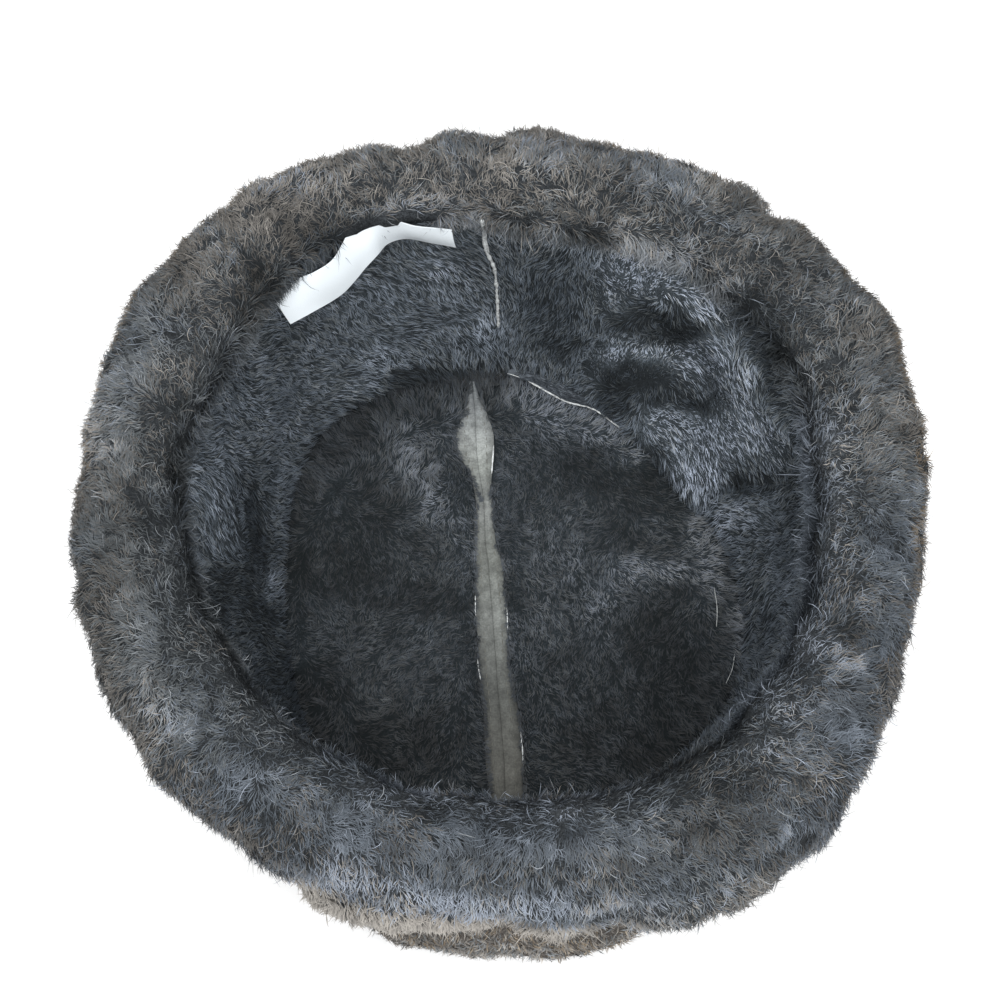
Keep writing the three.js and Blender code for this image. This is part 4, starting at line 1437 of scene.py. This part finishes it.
inner_side = strip_rows[:, None, [2, 3, 4]] + np.array([0, 0, 1.0])
over = (outer_side + (inner_side - outer_side) * shares[None, :, None]) * 0.001
over[:, :, 2] += 0.0003 * cloud(over.reshape(-1, 3), 0.004, 83).reshape(STRIP_STEPS)
strip = plate("crown_edge_hide", over, over - np.array([0, 0, LEATHER]))
streaked, streaked_tree, streaked_shader = new_finish("streaked hide", 0.65, 0.3)
streaked_scale = add_node(streaked_tree, "ShaderNodeMapping", Scale=(16, 9, 1))
streaks = add_node(streaked_tree, "ShaderNodeTexNoise", Scale=1.0, Detail=4.0, Roughness=0.65)
streak_shade = ramp(streaked_tree, [(0.38, srgb(42, 47, 52)), (0.62, srgb(96, 103, 111))])
wire(
    streaked_tree,
    (own_map(streaked_tree), "UV", streaked_scale, "Vector"),
    (streaked_scale, "Vector", streaks, "Vector"),
    (streaks, "Fac", streak_shade, "Fac"),
    (streak_shade, "Color", streaked_shader, "Base Color"),
)
fit_out(strip, streaked, "leather", "crown_edge_strip")

# Fuzz along the strip, which hides all but its cut edge
draw = np.random.default_rng(35)
count = 2200
row = draw.integers(2, STRIP_STEPS[0] - 2, count)
shares = draw.uniform(-0.2, 0.94, count)[:, None]
roots = over[row, 0] * (1 - shares) + over[row, -1] * shares
outs = unit(np.tile([0.1, 0.25, 1.0], (count, 1)))
lay = over[row + 1, 3] - over[row, 3]
lay = unit(unit(lay) + draw.normal(0, 0.2, (count, 3)))
shape = {
    "length": 0.0034 * (0.7 + 0.6 * draw.random(count)),
    "width": 0.00026,
    "lean": 1.25 + draw.normal(0, 0.12, count),
    "droop": 0.2,
    "curl": draw.normal(0, 0.4, count),
    "links": 2,
}
tone = 0.34 + 0.16 * cloud(roots, 0.003, 36) + draw.normal(0, 0.1, count)
which = tufts_of(roots, 0.0026, 37)
pile = grow("crown_edge_fuzz", roots, outs, lay, shape, tone, np.full(count, BLUE), draw, which, 0.3)
fit_out(pile, crown_hair, "crown_lining_fur")
raw_edge("crown_edge_raw", over[10:, -1] * 1000 + np.array([0, 0, 0.3]), 0.6, seed=31)
raw_edge("crown_edge_tip", over[:7, -1] * 1000 + np.array([0, 0, 0.4]), 0.35, seed=33)


# The label
# A white satin label without print, caught in the crease by its top edge. It is as long as a
# finger, bulges over the crease in its middle and waves free of the wall below.
LABEL_THICK = 0.0003
LABEL_BULGE = 0.0007
LABEL_STEPS = (90, 9)
# Its lower and upper edge from left to right, in mm
LABEL_LOW = [
    (-69.1, 63.6, 96), (-61.4, 68.8, 96), (-53.3, 74.6, 96), (-48.3, 79.2, 98),
    (-44.3, 83.5, 100), (-40.6, 86.9, 102), (-37.1, 91.2, 102), (-31.1, 93.2, 102),
    (-22.5, 92.7, 100), (-14.8, 92.0, 99),
]
LABEL_TOP = [
    (-73.8, 66.3, 107.6), (-69.2, 71.3, 109), (-60.6, 75, 110), (-55, 79, 110.5),
    (-51.8, 83.5, 112.5), (-49.2, 87.6, 114.5), (-45.1, 89.8, 115), (-36.4, 92.4, 114),
    (-28.4, 92.2, 111), (-21.8, 92.3, 109.5), (-16, 92.4, 108.5),
]
label_low = smooth_line(LABEL_LOW, LABEL_STEPS[0]) * 0.001
label_top = smooth_line(LABEL_TOP, LABEL_STEPS[0]) * 0.001
shares = np.linspace(0, 1, LABEL_STEPS[1])[None, :, None]
face = label_top[:, None] * (1 - shares) + label_low[:, None] * shares
tilt = np.cross(np.gradient(face, axis=0), np.gradient(face, axis=1))
tilt = tilt / np.linalg.norm(tilt, axis=2, keepdims=True)
tilt = tilt * np.sign((tilt * -face * np.array([1, 1, 0])).sum(2, keepdims=True))
crumple = cloud(face.reshape(-1, 3), 0.008, 81).reshape(*LABEL_STEPS, 1)
face = face + tilt * (LABEL_BULGE * np.sin(np.pi * shares) + 0.0003 * crumple)
label = plate("label_cloth", face, face - tilt * LABEL_THICK)
satin, satin_tree, satin_shader = new_finish("white satin", 0.42, 0.45)
satin_scale = add_node(satin_tree, "ShaderNodeMapping", Scale=(14, 72, 1))
weave = satin_tree.nodes.new("ShaderNodeTexWave")
weave.wave_type = "BANDS"
weave.bands_direction = "DIAGONAL"
weave.inputs["Scale"].default_value = 3.0
weave_shade = ramp(satin_tree, [(0.0, srgb(224, 232, 237)), (1.0, srgb(238, 244, 248))])
wire(
    satin_tree,
    (own_map(satin_tree), "UV", satin_scale, "Vector"),
    (satin_scale, "Vector", weave, "Vector"),
    (weave, "Color", weave_shade, "Fac"),
)
surface(satin_tree, satin_shader, (weave_shade, "Color"), (weave, "Color"), 0.25, 0.0001)
fit_out(label, satin, "label_cloth", "label")
